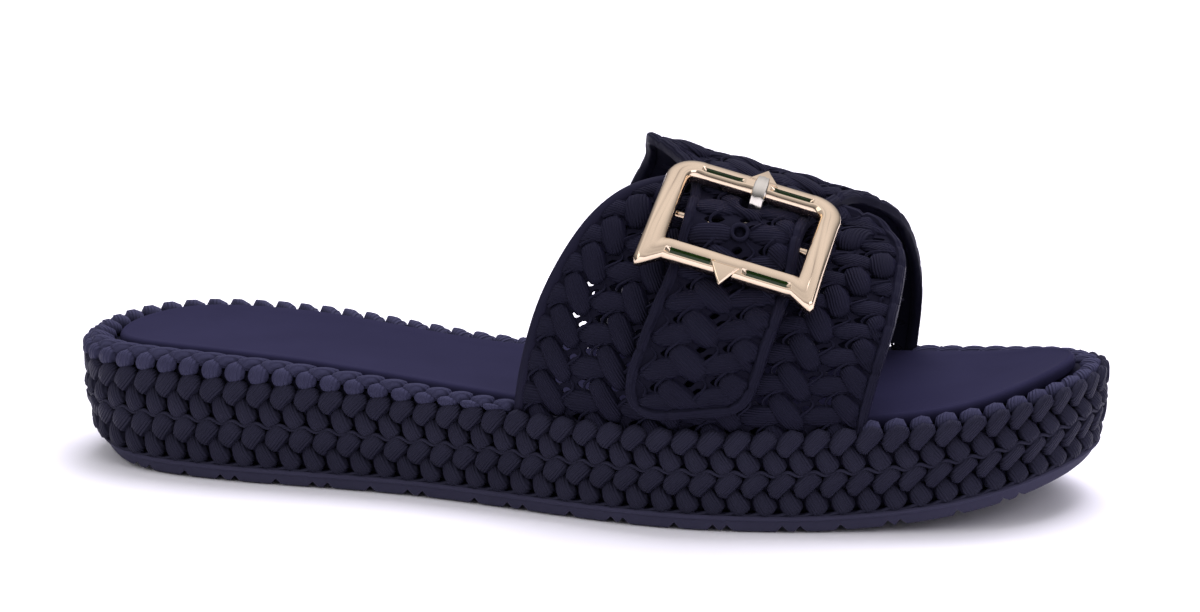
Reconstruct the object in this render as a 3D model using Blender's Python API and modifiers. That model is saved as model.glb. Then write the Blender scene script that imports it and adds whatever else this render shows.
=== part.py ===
"""Slide sandal, right shoe: braided platform sole, woven upper in two halves, prong buckle.

Units are metres, +X points to the toe, -Y to the outer side of the foot, +Z up.
The sole is a stack of rings worked out from one closed outline. The upper is woven flat,
cut to its outline flat, and then bent over the arch of the last.
"""
import math

import bmesh
import bpy
import numpy as np
from mathutils import Matrix, Vector

MM = 0.001

# Driving sizes of the last
LENGTH = 268.0 * MM
BALL_WIDTH = 101.0 * MM
HEEL_HEIGHT = 32.0 * MM
TOE_SPRING = 11.3 * MM
HEEL_SPRING = 3.9 * MM
INSTEP_HEIGHT = 85.3 * MM
INSTEP_PLACE = 24.0 * MM
INSTEP_SLOPE = 0.28
ARCH_EXPONENT = 1.85

# Sole
STATIONS = 192
OUTSOLE_THICKNESS = 4.2 * MM
OUTSOLE_INSET = 1.8 * MM
OUTSOLE_BEVEL = 1.2 * MM
TREAD_PITCH = 13.4 * MM
TREAD_PAIR = 4.4 * MM
TREAD_WIDTH = 2.6 * MM
TREAD_DEPTH = 1.5 * MM
LAYER_GAP = 0.3 * MM
BRAID_DEPTH = 1.5 * MM
BAND_INSET = 0.9 * MM
ROPE_HEIGHT = 3.6 * MM
ROPE_WIDTH = 7.0 * MM
ROPE_SWELL = 0.9 * MM
ROPE_SLOPE = 2.4 * MM
ROPE_FOOT = 0.8 * MM
ROPE_RAMP = 6.0 * MM
ROPE_CLEARANCE = 1.6
FOOTBED_THICKNESS = 4.9 * MM
FOOTBED_INSET = 9.0 * MM
FOOTBED_ROUNDING = 2.0 * MM
FOOTBED_DISH = 1.6 * MM

# Upper
WALL = 2.2 * MM
STRIP_HEIGHT = 0.8 * MM
STRAP_INSET = 2.6 * MM
MARGIN = 5.8 * MM
BORDER = 2.8 * MM
ARC_LENGTH = 152.0 * MM
WEAVE_COLUMN = 15.0 * MM
WEAVE_ROW = 8.1 * MM
COLUMN_STEPS = 3
ROW_STEPS = 3
SNAP = 1e-5
LEAF_LONG = 6.4 * MM
LEAF_WIDE = 3.0 * MM
JOIN_LIFT = 2.3 * MM

# Buckle
FRAME_WIDTH = 45.0 * MM
FRAME_HEIGHT = 32.8 * MM
FRAME_THICKNESS = 3.2 * MM
FRAME_BAR = 4.8 * MM
FRAME_CORNER = 7.0 * MM
FRAME_BEND = 55.0 * MM
FRAME_CHAMFER = 0.9 * MM
FRAME_FLARE = 0.4 * MM
FOOT_LENGTH = 3.4 * MM
CHANNEL_DEPTH = 0.6 * MM
CHANNEL_WIDTH = 1.6 * MM
STUD = 7.4 * MM
STUD_HEIGHT = 2.0 * MM
CENTRE_BAR = 1.8 * MM
CENTRE_BAR_DROP = 4.0 * MM
PRONG_WIDTH = 4.4 * MM
PRONG_THICKNESS = 1.0 * MM
PIVOT_CLEARANCE = 0.25 * MM
HOLE = 3.2 * MM
PRONG_SLOT = 4.4 * MM

# Closed outline of the sole at its widest line
OUTLINE = (
    # place, along (share of LENGTH), across (share of BALL_WIDTH, outer side negative)
    ("heel end", 0.000, -0.070),
    ("heel corner outer", 0.030, -0.218),
    ("heel outer", 0.125, -0.322),
    ("waist outer", 0.360, -0.362),
    ("ball outer", 0.640, -0.492),
    ("little toe", 0.800, -0.415),
    ("fourth toe", 0.920, -0.290),
    ("toe tip", 1.000, 0.068),
    ("big toe", 0.955, 0.313),
    ("ball inner", 0.740, 0.485),
    ("waist inner", 0.440, 0.305),
    ("heel inner", 0.140, 0.352),
    ("heel corner inner", 0.034, 0.272),
)

# Height of the sole's rim along the foot
RIM = (
    # along (share of LENGTH), height (share of HEEL_HEIGHT)
    (0.00, 0.991),
    (0.10, 1.016),
    (0.20, 0.997),
    (0.40, 0.863),
    (0.60, 0.813),
    (0.75, 0.825),
    (0.90, 0.934),
    (1.00, 1.131),
)

# Rows of the two plaited bands up the side wall, and the alternate leaf that stands out there
BAND_ROWS = (
    # share of the wall's height, leaf (0 or 1, None in a groove)
    (0.00, None),
    (0.17, 0),
    (0.36, 1),
    (0.50, None),
    (0.67, 0),
    (0.86, 1),
)
SPRING_START = 0.72
HEEL_SPRING_END = 0.10

# Outline of the outer panel of the upper, from its rear foot round the top to its front foot
PANEL = (
    # along (share of LENGTH), up the arch from the outer side (share of ARC_LENGTH)
    (0.466, 0.000),
    (0.473, 0.089),
    (0.485, 0.177),
    (0.505, 0.266),
    (0.528, 0.344),
    (0.551, 0.400),
    (0.572, 0.436),
    (0.600, 0.470),
    (0.640, 0.492),
    (0.690, 0.500),
    (0.745, 0.500),
    (0.781, 0.492),
    (0.801, 0.461),
    (0.812, 0.410),
    (0.815, 0.347),
    (0.814, 0.225),
    (0.807, 0.124),
    (0.796, 0.000),
)

# Outline of the inner strap, from its rear foot over the crest, round the tab, to its front foot
STRAP = (
    # along (share of LENGTH), up the arch from the outer side (share of ARC_LENGTH)
    (0.476, 1.000),
    (0.482, 0.900),
    (0.495, 0.800),
    (0.515, 0.700),
    (0.538, 0.620),
    (0.553, 0.560),
    (0.560, 0.530),
    (0.583, 0.497),
    (0.604, 0.464),
    (0.616, 0.420),
    (0.620, 0.340),
    (0.613, 0.268),
    (0.592, 0.152),
    (0.581, 0.076),
    (0.587, 0.045),
    (0.605, 0.030),
    (0.645, 0.036),
    (0.684, 0.046),
    (0.697, 0.067),
    (0.711, 0.154),
    (0.722, 0.248),
    (0.725, 0.320),
    (0.728, 0.400),
    (0.742, 0.468),
    (0.757, 0.530),
    (0.775, 0.575),
    (0.791, 0.630),
    (0.799, 0.720),
    (0.800, 0.849),
    (0.792, 1.000),
)

# How far the strap's face stands off the panel's face
STRAP_LIFT = (
    # up the arch (share of ARC_LENGTH), lift (metres)
    (0.000, 3.4 * MM),
    (0.200, 3.4 * MM),
    (0.266, 3.6 * MM),
    (0.342, 6.3 * MM),
    (0.384, 4.8 * MM),
    (0.430, 3.4 * MM),
    (0.460, 3.7 * MM),
    (0.530, 4.6 * MM),
    (0.750, 2.2 * MM),
    (1.000, 0.0 * MM),
)
JOIN_START = 0.462
JOIN_END = 0.492
PANEL_FLAT = ((0.325, 0.400),)
STRAP_FLAT = ((0.225, 0.265), (0.410, 0.460))
PRONG_HOLE = (0.674, 0.392)
FREE_HOLE = (0.672, 0.328)

# Buckle's place over the last, the lift of its middle plane and its turn in that plane
FRAME_ALONG = 0.669
FRAME_SHARE = 0.342
FRAME_LIFT = 6.4 * MM
FRAME_TURN = math.radians(-7.0)

# Prong's centre line from its hook under the centre bar, through the tab, to the top bar
PRONG_PATH = (
    # up the strap (share of half the frame's height), off the frame's middle plane (in thicknesses)
    (0.18, -1.41),
    (0.32, -1.53),
    (0.43, -1.25),
    (0.49, -0.69),
    (0.54, -0.06),
    (0.60, 0.47),
    (0.70, 0.69),
    (0.88, 0.71),
)

COLORS = {
    "outsole_rubber": (0.020, 0.020, 0.032),
    "braid_rubber": (0.024, 0.024, 0.040),
    "footbed_foam": (0.038, 0.036, 0.062),
    "strap_rubber": (0.022, 0.021, 0.036),
    "gold_metal": (0.80, 0.62, 0.36),
}


def clear_scene():
    for item in list(bpy.data.objects):
        bpy.data.objects.remove(item, do_unlink=True)


def collection(name):
    made = bpy.data.collections.new(name)
    bpy.context.scene.collection.children.link(made)
    return made


def material(name, roughness, metallic=0.0):
    made = bpy.data.materials.new(name)
    made.use_nodes = True
    shader = made.node_tree.nodes["Principled BSDF"]
    shader.inputs["Base Color"].default_value = (*COLORS[name], 1.0)
    shader.inputs["Roughness"].default_value = roughness
    shader.inputs["Metallic"].default_value = metallic
    return made


def along_table(table, share):
    """Smooth value of a two-column table at a share, or at an array of shares."""
    keys = np.array([row[0] for row in table])
    values = np.array([row[-1] for row in table])
    slopes = np.gradient(values, keys)
    share = np.clip(share, keys[0], keys[-1])
    i = np.clip(np.searchsorted(keys, share) - 1, 0, len(keys) - 2)
    step = keys[i + 1] - keys[i]
    t = (share - keys[i]) / step
    rise = (3 - 2 * t) * t * t
    bends = (t ** 3 - 2 * t * t + t) * slopes[i] + (t ** 3 - t * t) * slopes[i + 1]
    return values[i] + rise * (values[i + 1] - values[i]) + step * bends


def closed_curve(points, count, fine=60):
    """Even points and inward normals of the closed cubic spline through the points."""
    knots = np.array(points)
    total = len(knots)
    after = np.roll(knots, -1, axis=0)
    chord = np.linalg.norm(after - knots, axis=1)
    system = np.zeros((total, total))
    right = np.zeros((total, 2))
    for i in range(total):
        back, ahead = chord[i - 1], chord[i]
        system[i, i - 1] += 1 / back
        system[i, i] += 2 / back + 2 / ahead
        system[i, (i + 1) % total] += 1 / ahead
        right[i] = 3 * ((knots[i] - knots[i - 1]) / back ** 2 + (after[i] - knots[i]) / ahead ** 2)
    slope = np.linalg.solve(system, right)
    pieces = []
    s = np.linspace(0, 1, fine, endpoint=False)[:, None]
    for i in range(total):
        start, end = slope[i] * chord[i], slope[(i + 1) % total] * chord[i]
        rise = 3 * s ** 2 - 2 * s ** 3
        bends = (s ** 3 - 2 * s ** 2 + s) * start + (s ** 3 - s ** 2) * end
        pieces.append((1 - rise) * knots[i] + rise * after[i] + bends)
    curve = np.vstack(pieces + [pieces[0][:1]])
    walked = np.r_[0, np.cumsum(np.linalg.norm(np.diff(curve, axis=0), axis=1))]
    even = np.linspace(0, walked[-1], count, endpoint=False)
    places = np.c_[np.interp(even, walked, curve[:, 0]), np.interp(even, walked, curve[:, 1])]
    ahead = np.roll(places, -1, axis=0) - np.roll(places, 1, axis=0)
    ahead /= np.linalg.norm(ahead, axis=1)[:, None]
    return places, np.c_[-ahead[:, 1], ahead[:, 0]]


def sole_outline(count):
    return closed_curve([(row[1] * LENGTH, row[2] * BALL_WIDTH) for row in OUTLINE], count)


def floor_line(x):
    """Height of the outsole's underside: toe spring, flat tread and heel spring."""
    share = np.asarray(x) / LENGTH
    toe = np.clip((share - SPRING_START) / (1 - SPRING_START), 0, 1.1)
    heel = np.clip((HEEL_SPRING_END - share) / HEEL_SPRING_END, 0, 1.1)
    return TOE_SPRING * toe ** 2 + HEEL_SPRING * heel ** 2


def rim_height(x):
    return HEEL_HEIGHT * along_table(RIM, np.asarray(x) / LENGTH)


def shoulder_height(x):
    """Height of the ledge that carries the footbed, the upper's margin and the rope."""
    return rim_height(x) + LAYER_GAP - ROPE_HEIGHT


def rope_share(x):
    """1 where the rope runs along the rim, 0 where the upper's foot takes its place."""
    start, end = PANEL[0][0] * LENGTH, PANEL[-1][0] * LENGTH
    inside = np.minimum(x - start, end - x) / ROPE_RAMP + ROPE_CLEARANCE
    return 1 - np.clip(inside, 0, 1)


def add_mesh(name, bm, home, finish):
    bmesh.ops.recalc_face_normals(bm, faces=bm.faces)
    mesh = bpy.data.meshes.new(name)
    bm.to_mesh(mesh)
    bm.free()
    made = bpy.data.objects.new(name, mesh)
    made.data.materials.append(finish)
    home.objects.link(made)
    return made


def stack_rings(name, rings, home, finish, columns=1, dish=None):
    """Closed solid from rings of equal count, bottom first, capped by rungs across the foot."""
    bm = bmesh.new()
    loops = [[bm.verts.new(point) for point in ring] for ring in rings]
    count = len(loops[0])
    for low, high in zip(loops, loops[1:]):
        for i in range(count):
            j = (i + 1) % count
            bm.faces.new((low[i], low[j], high[j], high[i]))
    for loop, cap_dish in ((loops[0], None), (loops[-1], dish)):
        across = columns if cap_dish else 1
        rungs = [[loop[0]]]
        for i in range(1, count // 2):
            left, right = loop[i].co.copy(), loop[-i].co.copy()
            inner = []
            for k in range(1, across):
                point = left.lerp(right, k / across)
                point.z -= cap_dish(point.x, k / across)
                inner.append(bm.verts.new(point))
            rungs.append([loop[i], *inner, loop[-i]])
        rungs.append([loop[count // 2]])
        for near, far in zip(rungs, rungs[1:]):
            for k in range(across):
                corners = [near[min(k, len(near) - 1)], near[min(k + 1, len(near) - 1)],
                           far[min(k + 1, len(far) - 1)], far[min(k, len(far) - 1)]]
                bm.faces.new(list(dict.fromkeys(corners)))
    return add_mesh(name, bm, home, finish)


def ring_at(places, inward, inset, height):
    spots = places + inward * np.broadcast_to(inset, len(places))[:, None]
    return np.c_[spots, np.broadcast_to(height, len(places))]


def boolean(target, cutter, operation):
    step = target.modifiers.new(operation.lower(), "BOOLEAN")
    step.operation = operation
    step.solver = "EXACT"
    step.object = cutter
    apply_modifiers(target)


def apply_modifiers(target):
    graph = bpy.context.evaluated_depsgraph_get()
    mesh = bpy.data.meshes.new_from_object(target.evaluated_get(graph))
    target.modifiers.clear()
    target.data = mesh


def make_outsole(home, cutters, finish):
    count = STATIONS // 2
    places, inward = sole_outline(count)
    floor = floor_line(places[:, 0])
    top = floor + OUTSOLE_THICKNESS
    rings = [
        ring_at(places, inward, OUTSOLE_INSET + OUTSOLE_BEVEL, floor),
        ring_at(places, inward, OUTSOLE_INSET + OUTSOLE_BEVEL / 4, floor + OUTSOLE_BEVEL),
        ring_at(places, inward, OUTSOLE_INSET, top),
    ]
    outsole = stack_rings("outsole", rings, home, finish)
    grooves = make_tread_cutter(cutters)
    boolean(outsole, grooves, "DIFFERENCE")
    return outsole


def make_tread_cutter(cutters):
    """V grooves across the tread in pairs, each standing square to the sole's underside."""
    bm = bmesh.new()
    count = int(LENGTH / TREAD_PITCH) - 1
    for i in range(count):
        middle = (i + 1) * TREAD_PITCH
        for x in (middle - TREAD_PAIR / 2, middle + TREAD_PAIR / 2):
            z = float(floor_line(x))
            slope = float(floor_line(x + MM) - floor_line(x - MM)) / (2 * MM)
            groove = bmesh.ops.create_cone(bm, cap_ends=True, segments=4, radius1=TREAD_WIDTH / 2,
                                           radius2=TREAD_WIDTH / 2, depth=BALL_WIDTH * 1.4)
            turn = Matrix.Rotation(-math.atan(slope), 4, "Y") @ Matrix.Rotation(math.pi / 2, 4, "X")
            stretch = Matrix.Diagonal((1, 1, 2 * TREAD_DEPTH / TREAD_WIDTH, 1))
            place = Matrix.Translation((x, 0, z)) @ stretch @ turn
            bmesh.ops.transform(bm, matrix=place, verts=groove["verts"])
    cutter = add_mesh("tread_cutter", bm, cutters, bpy.data.materials["outsole_rubber"])
    hide_cutter(cutter)
    return cutter


def make_midsole(home, finish):
    """Side wall of two plaited bands, a leaf leaning each way in turn, under a rope on the rim."""
    places, inward = sole_outline(STATIONS)
    x = places[:, 0]
    low = floor_line(x) + OUTSOLE_THICKNESS + LAYER_GAP
    ledge = shoulder_height(x)
    rope = rope_share(x)
    parity = np.arange(STATIONS) % 2
    rings = []
    for share, raised in BAND_ROWS:
        sunk = 1.0 if raised is None else np.where(parity == raised, 0.0, 0.8)
        rings.append(ring_at(places, inward, BAND_INSET + BRAID_DEPTH * sunk, low + (ledge - low) * share))
    crest = (ROPE_HEIGHT - LAYER_GAP) * rope
    swell = np.where(parity == 0, 0.0, ROPE_SWELL) * rope
    rope_in = STRAP_INSET + (ROPE_WIDTH - STRAP_INSET) * rope
    rings += [
        ring_at(places, inward, BAND_INSET + BRAID_DEPTH * (1 - rope) * 0.6 + swell, ledge + crest * 0.35),
        ring_at(places, inward, BAND_INSET + ROPE_SLOPE + swell * 0.5, ledge + crest - swell * 0.6),
        ring_at(places, inward, rope_in - ROPE_SLOPE / 2 * rope, ledge + crest * 0.6),
        ring_at(places, inward, rope_in + ROPE_FOOT, ledge),
    ]
    return stack_rings("midsole", rings, home, finish)


def make_footbed(home, finish):
    count = STATIONS * 5 // 12 // 2 * 2
    places, inward = sole_outline(count)
    x = places[:, 0]
    low = shoulder_height(x) + LAYER_GAP
    top = low + FOOTBED_THICKNESS
    rings = [
        ring_at(places, inward, FOOTBED_INSET + 0.4 * MM, low),
        ring_at(places, inward, FOOTBED_INSET, low + FOOTBED_THICKNESS * 0.4),
        ring_at(places, inward, FOOTBED_INSET + FOOTBED_ROUNDING * 0.3, top - FOOTBED_ROUNDING * 0.4),
        ring_at(places, inward, FOOTBED_INSET + FOOTBED_ROUNDING, top),
    ]

    def dish(_, across):
        return FOOTBED_DISH * 4 * across * (1 - across)

    return stack_rings("footbed", rings, home, finish, columns=4, dish=dish)


class Arch:
    """Surface of the panel's face over the last, by length along the foot and share of the arc."""

    def __init__(self):
        places, inward = sole_outline(STATIONS)
        inner = places + inward * STRAP_INSET
        self.sides = []
        for sign in (-1, 1):
            side = inner[inner[:, 1] * sign > 0]
            self.sides.append(side[np.argsort(side[:, 0])])

    def section(self, x):
        outer, inner = (float(np.interp(x, side[:, 0], side[:, 1])) for side in self.sides)
        base = float(shoulder_height(x)) + LAYER_GAP
        rear = PANEL[0][0] * LENGTH
        crest = INSTEP_HEIGHT - INSTEP_SLOPE * (x - rear - INSTEP_PLACE)
        t = np.linspace(0, math.pi, 121)
        power = 2 / ARCH_EXPONENT
        half, middle = (inner - outer) / 2, (inner + outer) / 2
        y = middle - half * np.sign(np.cos(t)) * np.abs(np.cos(t)) ** power
        z = base + (crest - base) * np.abs(np.sin(t)) ** power
        walked = np.r_[0, np.cumsum(np.hypot(np.diff(y), np.diff(z)))]
        return y, z, walked / walked[-1]

    def place(self, x, share, lift):
        """Point over the arch, or on the margin turned in below it where share is outside 0 to 1."""
        y, z, walked = self.section(x)
        if share < 0 or share > 1:
            end, inward = (0, 1) if share < 0 else (-1, -1)
            run = (-share if share < 0 else share - 1) * ARC_LENGTH
            return Vector((x, y[end] + inward * run, z[end] - lift))
        if share in (0, 1):
            end, outward = (0, -1) if share == 0 else (-1, 1)
            return Vector((x, y[end] + outward * lift, z[end] - lift))
        near = np.interp([share - 0.01, share, share + 0.01], walked, y)
        high = np.interp([share - 0.01, share, share + 0.01], walked, z)
        ahead = Vector((0, near[2] - near[0], high[2] - high[0])).normalized()
        return Vector((x, near[1] - ahead.z * lift, high[1] + ahead.y * lift))


def strip_relief(u, v):
    """Height share of the woven strips: flat leaves in one column, slanted leaves in the next."""
    cell_u, cell_v = u % WEAVE_COLUMN, v % WEAVE_ROW
    flat = (cell_u - WEAVE_COLUMN / 2) / (LEAF_LONG * 0.8), (cell_v - WEAVE_ROW / 2) / LEAF_WIDE
    best = 1 - flat[0] ** 2 - flat[1] ** 2
    for corner_u in (0, WEAVE_COLUMN):
        for corner_v in (0, WEAVE_ROW):
            du, dv = cell_u - corner_u, cell_v - corner_v
            slanted = (0.6 * du - 0.8 * dv) / LEAF_LONG, (0.8 * du + 0.6 * dv) / LEAF_WIDE
            best = max(best, 1 - slanted[0] ** 2 - slanted[1] ** 2)
    return math.sqrt(max(best, 0))


def outline_distance(point, outline):
    """Signed distance from a flat point to a closed outline, positive inside."""
    p = np.array(point)
    a, b = outline, np.roll(outline, -1, axis=0)
    run = b - a
    t = np.clip(((p - a) * run).sum(1) / (run * run).sum(1), 0, 1)
    far = np.linalg.norm(p - (a + run * t[:, None]), axis=1).min()
    crossing = (a[:, 1] > p[1]) != (b[:, 1] > p[1])
    x_cross = a[:, 0] + (p[1] - a[:, 1]) / np.where(run[:, 1] == 0, 1, run[:, 1]) * run[:, 0]
    inside = np.count_nonzero(crossing & (p[0] < x_cross)) % 2 == 1
    return far if inside else -far


def in_zones(share, zones):
    return any(low < share < high for low, high in zones)


def flat_outline(table, margin_side):
    """Outline in metres, with the margin that turns in under the wall added at its open side."""
    points = [(row[0] * LENGTH, row[1] * ARC_LENGTH) for row in table]
    past = MARGIN + WALL
    foot = -past if margin_side < 0 else ARC_LENGTH + past
    return np.array([(points[0][0], foot), *points, (points[-1][0], foot)])


def weave_sheet(name, table, margin_side, home, cutters, finish, flat_zones, holes=()):
    """Woven sheet cut to its outline while flat: raised strips, gaps at their corners, a border."""
    outline = flat_outline(table, margin_side)
    u_step, v_step = WEAVE_COLUMN / COLUMN_STEPS, WEAVE_ROW / ROW_STEPS
    u_low = math.floor(outline[:, 0].min() / u_step) - 1
    u_high = math.ceil(outline[:, 0].max() / u_step) + 1
    shares = [row[1] for row in table]
    low, high = min(shares) * ARC_LENGTH, max(shares) * ARC_LENGTH
    rows = [k * v_step for k in range(math.floor(low / v_step), math.ceil(high / v_step) + 1)]
    if margin_side < 0:
        rows = [-MARGIN, 0.0] + [v for v in rows if v > WALL * 1.1]
    else:
        rows = [v for v in rows if v < ARC_LENGTH - WALL * 1.1] + [ARC_LENGTH, ARC_LENGTH + MARGIN]
    bm = bmesh.new()
    grid = [[bm.verts.new((k * u_step, v, 0)) for k in range(u_low, u_high + 1)] for v in rows]
    for r, (near, far) in enumerate(zip(grid, grid[1:])):
        for c in range(len(near) - 1):
            column, row = (u_low + c) % COLUMN_STEPS, round(rows[r] / v_step) % ROW_STEPS
            middle = ((near[c].co + far[c + 1].co) / 2).xy
            deep = outline_distance(middle, outline) > BORDER + u_step / 2
            clear = all((Vector(hole) - middle).length > HOLE * 1.7 for hole in holes)
            bare = in_zones(middle.y / ARC_LENGTH, flat_zones)
            on_wall = BORDER < middle.y < ARC_LENGTH - BORDER
            if column == 1 and row == 0 and deep and clear and on_wall and not bare:
                continue
            bm.faces.new((near[c], near[c + 1], far[c + 1], far[c]))
    sheet = add_mesh(name, bm, home, finish)
    shell = sheet.modifiers.new("wall", "SOLIDIFY")
    shell.thickness = WALL
    shell.offset = -1.0
    if sheet.data.polygons[0].normal.z < 0:
        shell.offset = 1.0
    apply_modifiers(sheet)
    for vertex in sheet.data.vertices:
        if vertex.co.z < -WALL / 2:
            continue
        u, v = vertex.co.x, vertex.co.y
        share = v / ARC_LENGTH
        on_wall = SNAP < share < 1 - SNAP
        if not on_wall or in_zones(share, flat_zones):
            continue
        inside = outline_distance((u, v), outline)
        vertex.co.z += STRIP_HEIGHT * (0.6 if inside < BORDER else strip_relief(u, v))
    boolean(sheet, prism(name + "_cutter", outline, cutters), "INTERSECT")
    return sheet


def prism(name, outline, cutters):
    bm = bmesh.new()
    bottom = [bm.verts.new((u, v, -4 * WALL)) for u, v in outline]
    face = bm.faces.new(bottom)
    lifted = bmesh.ops.extrude_face_region(bm, geom=[face])["geom"]
    top = [item for item in lifted if isinstance(item, bmesh.types.BMVert)]
    bmesh.ops.translate(bm, vec=(0, 0, 8 * WALL), verts=top)
    made = add_mesh(name, bm, cutters, bpy.data.materials["strap_rubber"])
    hide_cutter(made)
    return made


def bend(sheet, arch, lift):
    for vertex in sheet.data.vertices:
        u, v, w = vertex.co
        share = v / ARC_LENGTH
        if abs(share - round(share)) < SNAP:
            share = round(share)
        vertex.co = arch.place(u, share, w + lift(min(max(share, 0), 1)))


def make_upper(home, cutters, finish):
    """Outer panel and inner strap, woven apart and joined where they cross under the buckle."""
    arch = Arch()
    panel = weave_sheet("upper", PANEL, -1, home, cutters, finish, PANEL_FLAT)
    holes = [(along * LENGTH, share * ARC_LENGTH) for along, share in (PRONG_HOLE, FREE_HOLE)]
    strap = weave_sheet("inner_strap", STRAP, 1, cutters, cutters, finish, STRAP_FLAT, holes)
    punch_holes(strap, cutters)

    def panel_lift(share):
        ramp = min(max((share - JOIN_START) / (JOIN_END - JOIN_START), 0), 1)
        return JOIN_LIFT * ramp * ramp * (3 - 2 * ramp)

    def strap_lift(share):
        return float(along_table(STRAP_LIFT, share))

    bend(panel, arch, panel_lift)
    bend(strap, arch, strap_lift)
    boolean(panel, strap, "UNION")
    bpy.data.objects.remove(strap)
    return panel


def punch_holes(strap, cutters):
    """Round free hole, and the slot that the prong comes up through."""
    bm = bmesh.new()
    hole = bmesh.ops.create_cone(bm, cap_ends=True, segments=12, radius1=HOLE / 2,
                                 radius2=HOLE / 2, depth=8 * WALL)
    place = Matrix.Translation((FREE_HOLE[0] * LENGTH, FREE_HOLE[1] * ARC_LENGTH, 0))
    bmesh.ops.transform(bm, matrix=place, verts=hole["verts"])
    slot = bmesh.ops.create_cube(bm, size=1)
    size = Matrix.Diagonal((PRONG_WIDTH + 4 * LAYER_GAP, PRONG_SLOT, 8 * WALL, 1))
    place = Matrix.Translation((PRONG_HOLE[0] * LENGTH, PRONG_HOLE[1] * ARC_LENGTH, 0))
    bmesh.ops.transform(bm, matrix=place @ size, verts=slot["verts"])
    cutter = add_mesh("hole_cutter", bm, cutters, bpy.data.materials["strap_rubber"])
    hide_cutter(cutter)
    boolean(strap, cutter, "DIFFERENCE")


def frame_place(arch):
    """World matrix of the buckle: X forward, Y up the strap, Z off the foot."""
    x = FRAME_ALONG * LENGTH
    reach = FRAME_WIDTH / 2
    seat = arch.place(x, FRAME_SHARE, 0)
    off = (arch.place(x, FRAME_SHARE, FRAME_LIFT) - seat).normalized()
    forward = arch.place(x + reach, FRAME_SHARE, 0) - arch.place(x - reach, FRAME_SHARE, 0)
    forward.normalize()
    off = (off - forward * off.dot(forward)).normalized()
    forward = Matrix.Rotation(FRAME_TURN, 3, off) @ forward
    up = off.cross(forward)
    turned = Matrix((forward, up, off)).transposed().to_4x4()
    return Matrix.Translation(seat + off * FRAME_LIFT) @ turned


def bend_frame(point):
    """Curve a flat buckle point over the instep."""
    angle = point[1] / FRAME_BEND
    radius = FRAME_BEND + point[2]
    return Vector((point[0], radius * math.sin(angle), radius * math.cos(angle) - FRAME_BEND))


def frame_stations():
    """Outer and inner outline points of the frame's right half, from top middle to bottom middle."""
    half, top, bar = FRAME_WIDTH / 2, FRAME_HEIGHT / 2, FRAME_BAR
    inner_corner = FRAME_CORNER - bar
    centre = Vector((half - FRAME_CORNER, top - FRAME_CORNER))
    rows = [((0, top), (0, top - bar)), ((half / 3, top), (half / 3, top - bar))]
    for k in range(5):
        angle = math.pi / 2 * k / 4
        aim = Vector((math.sin(angle), math.cos(angle)))
        rows.append((centre + aim * FRAME_CORNER, centre + aim * inner_corner))
    for share in (0.15, -0.2, -0.5):
        rows.append(((half + FRAME_FLARE * (0.15 - share), top * share), (half - bar, top * share)))
    rows.append(((half + FRAME_FLARE * 1.4, -top - FOOT_LENGTH), (half - bar, bar - top)))
    rows.append(((half - bar - FRAME_FLARE, -top), (half - bar * 1.6, bar - top)))
    rows.append(((half / 3, -top), (half / 3, bar - top)))
    return [(Vector(outer), Vector(inner)) for outer, inner in rows]


def mirrored(row):
    return tuple(Vector((-point.x, point.y)) for point in row)


def frame_ring(bm):
    right = frame_stations()
    bottom = (Vector((0, -FRAME_HEIGHT / 2)), Vector((0, FRAME_BAR - FRAME_HEIGHT / 2)))
    stations = right + [bottom] + [mirrored(row) for row in reversed(right[1:])]
    face, chamfer = FRAME_THICKNESS / 2, FRAME_CHAMFER
    loops = []
    for outer, inner in stations:
        step = (inner - outer).normalized() * chamfer
        section = ((outer, -face), (outer, face - chamfer), (outer + step, face),
                   (inner - step, face), (inner, face - chamfer), (inner, -face))
        loops.append([bm.verts.new((spot.x, spot.y, z)) for spot, z in section])
    for near, far in zip(loops, loops[1:] + loops[:1]):
        for k in range(len(near)):
            n = (k + 1) % len(near)
            bm.faces.new((near[k], near[n], far[n], far[k]))


def buckle_block(name, size, centre, cutters):
    bm = bmesh.new()
    bmesh.ops.create_cube(bm, size=1)
    place = Matrix.Translation(centre) @ Matrix.Diagonal((*size, 1))
    bmesh.ops.transform(bm, matrix=place, verts=bm.verts)
    block = add_mesh(name, bm, cutters, bpy.data.materials["gold_metal"])
    hide_cutter(block)
    return block


def make_buckle_frame(home, cutters, finish, place):
    bm = bmesh.new()
    frame_ring(bm)
    frame = add_mesh("buckle_frame", bm, home, finish)
    middle = FRAME_HEIGHT / 2 - FRAME_BAR / 2
    face = FRAME_THICKNESS / 2
    run = FRAME_WIDTH / 2 - FRAME_CORNER - STUD * 0.6
    for bar in (1, -1):
        for side in (1, -1):
            centre = (side * (STUD * 0.6 + run / 2), bar * middle, face)
            channel = buckle_block("channel_cutter", (run, CHANNEL_WIDTH, 2 * CHANNEL_DEPTH), centre, cutters)
            boolean(frame, channel, "DIFFERENCE")
    notch = (PRONG_WIDTH + 2 * LAYER_GAP, FRAME_BAR, 2 * CHANNEL_DEPTH)
    notch_centre = (0, middle - FRAME_BAR / 4, face)
    boolean(frame, buckle_block("notch_cutter", notch, notch_centre, cutters), "DIFFERENCE")
    for bar in (1, -1):
        boolean(frame, stud(bar, cutters), "UNION")
    post_x = FRAME_WIDTH / 2 - FRAME_BAR / 2
    for side in (1, -1):
        size = (CENTRE_BAR, CENTRE_BAR, CENTRE_BAR_DROP + CENTRE_BAR / 2)
        centre = (side * post_x, 0, -size[2] / 2)
        boolean(frame, buckle_block("post", size, centre, cutters), "UNION")
    boolean(frame, centre_bar(post_x, cutters), "UNION")
    for vertex in frame.data.vertices:
        vertex.co = bend_frame(vertex.co)
    frame.matrix_world = place
    return frame


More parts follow.
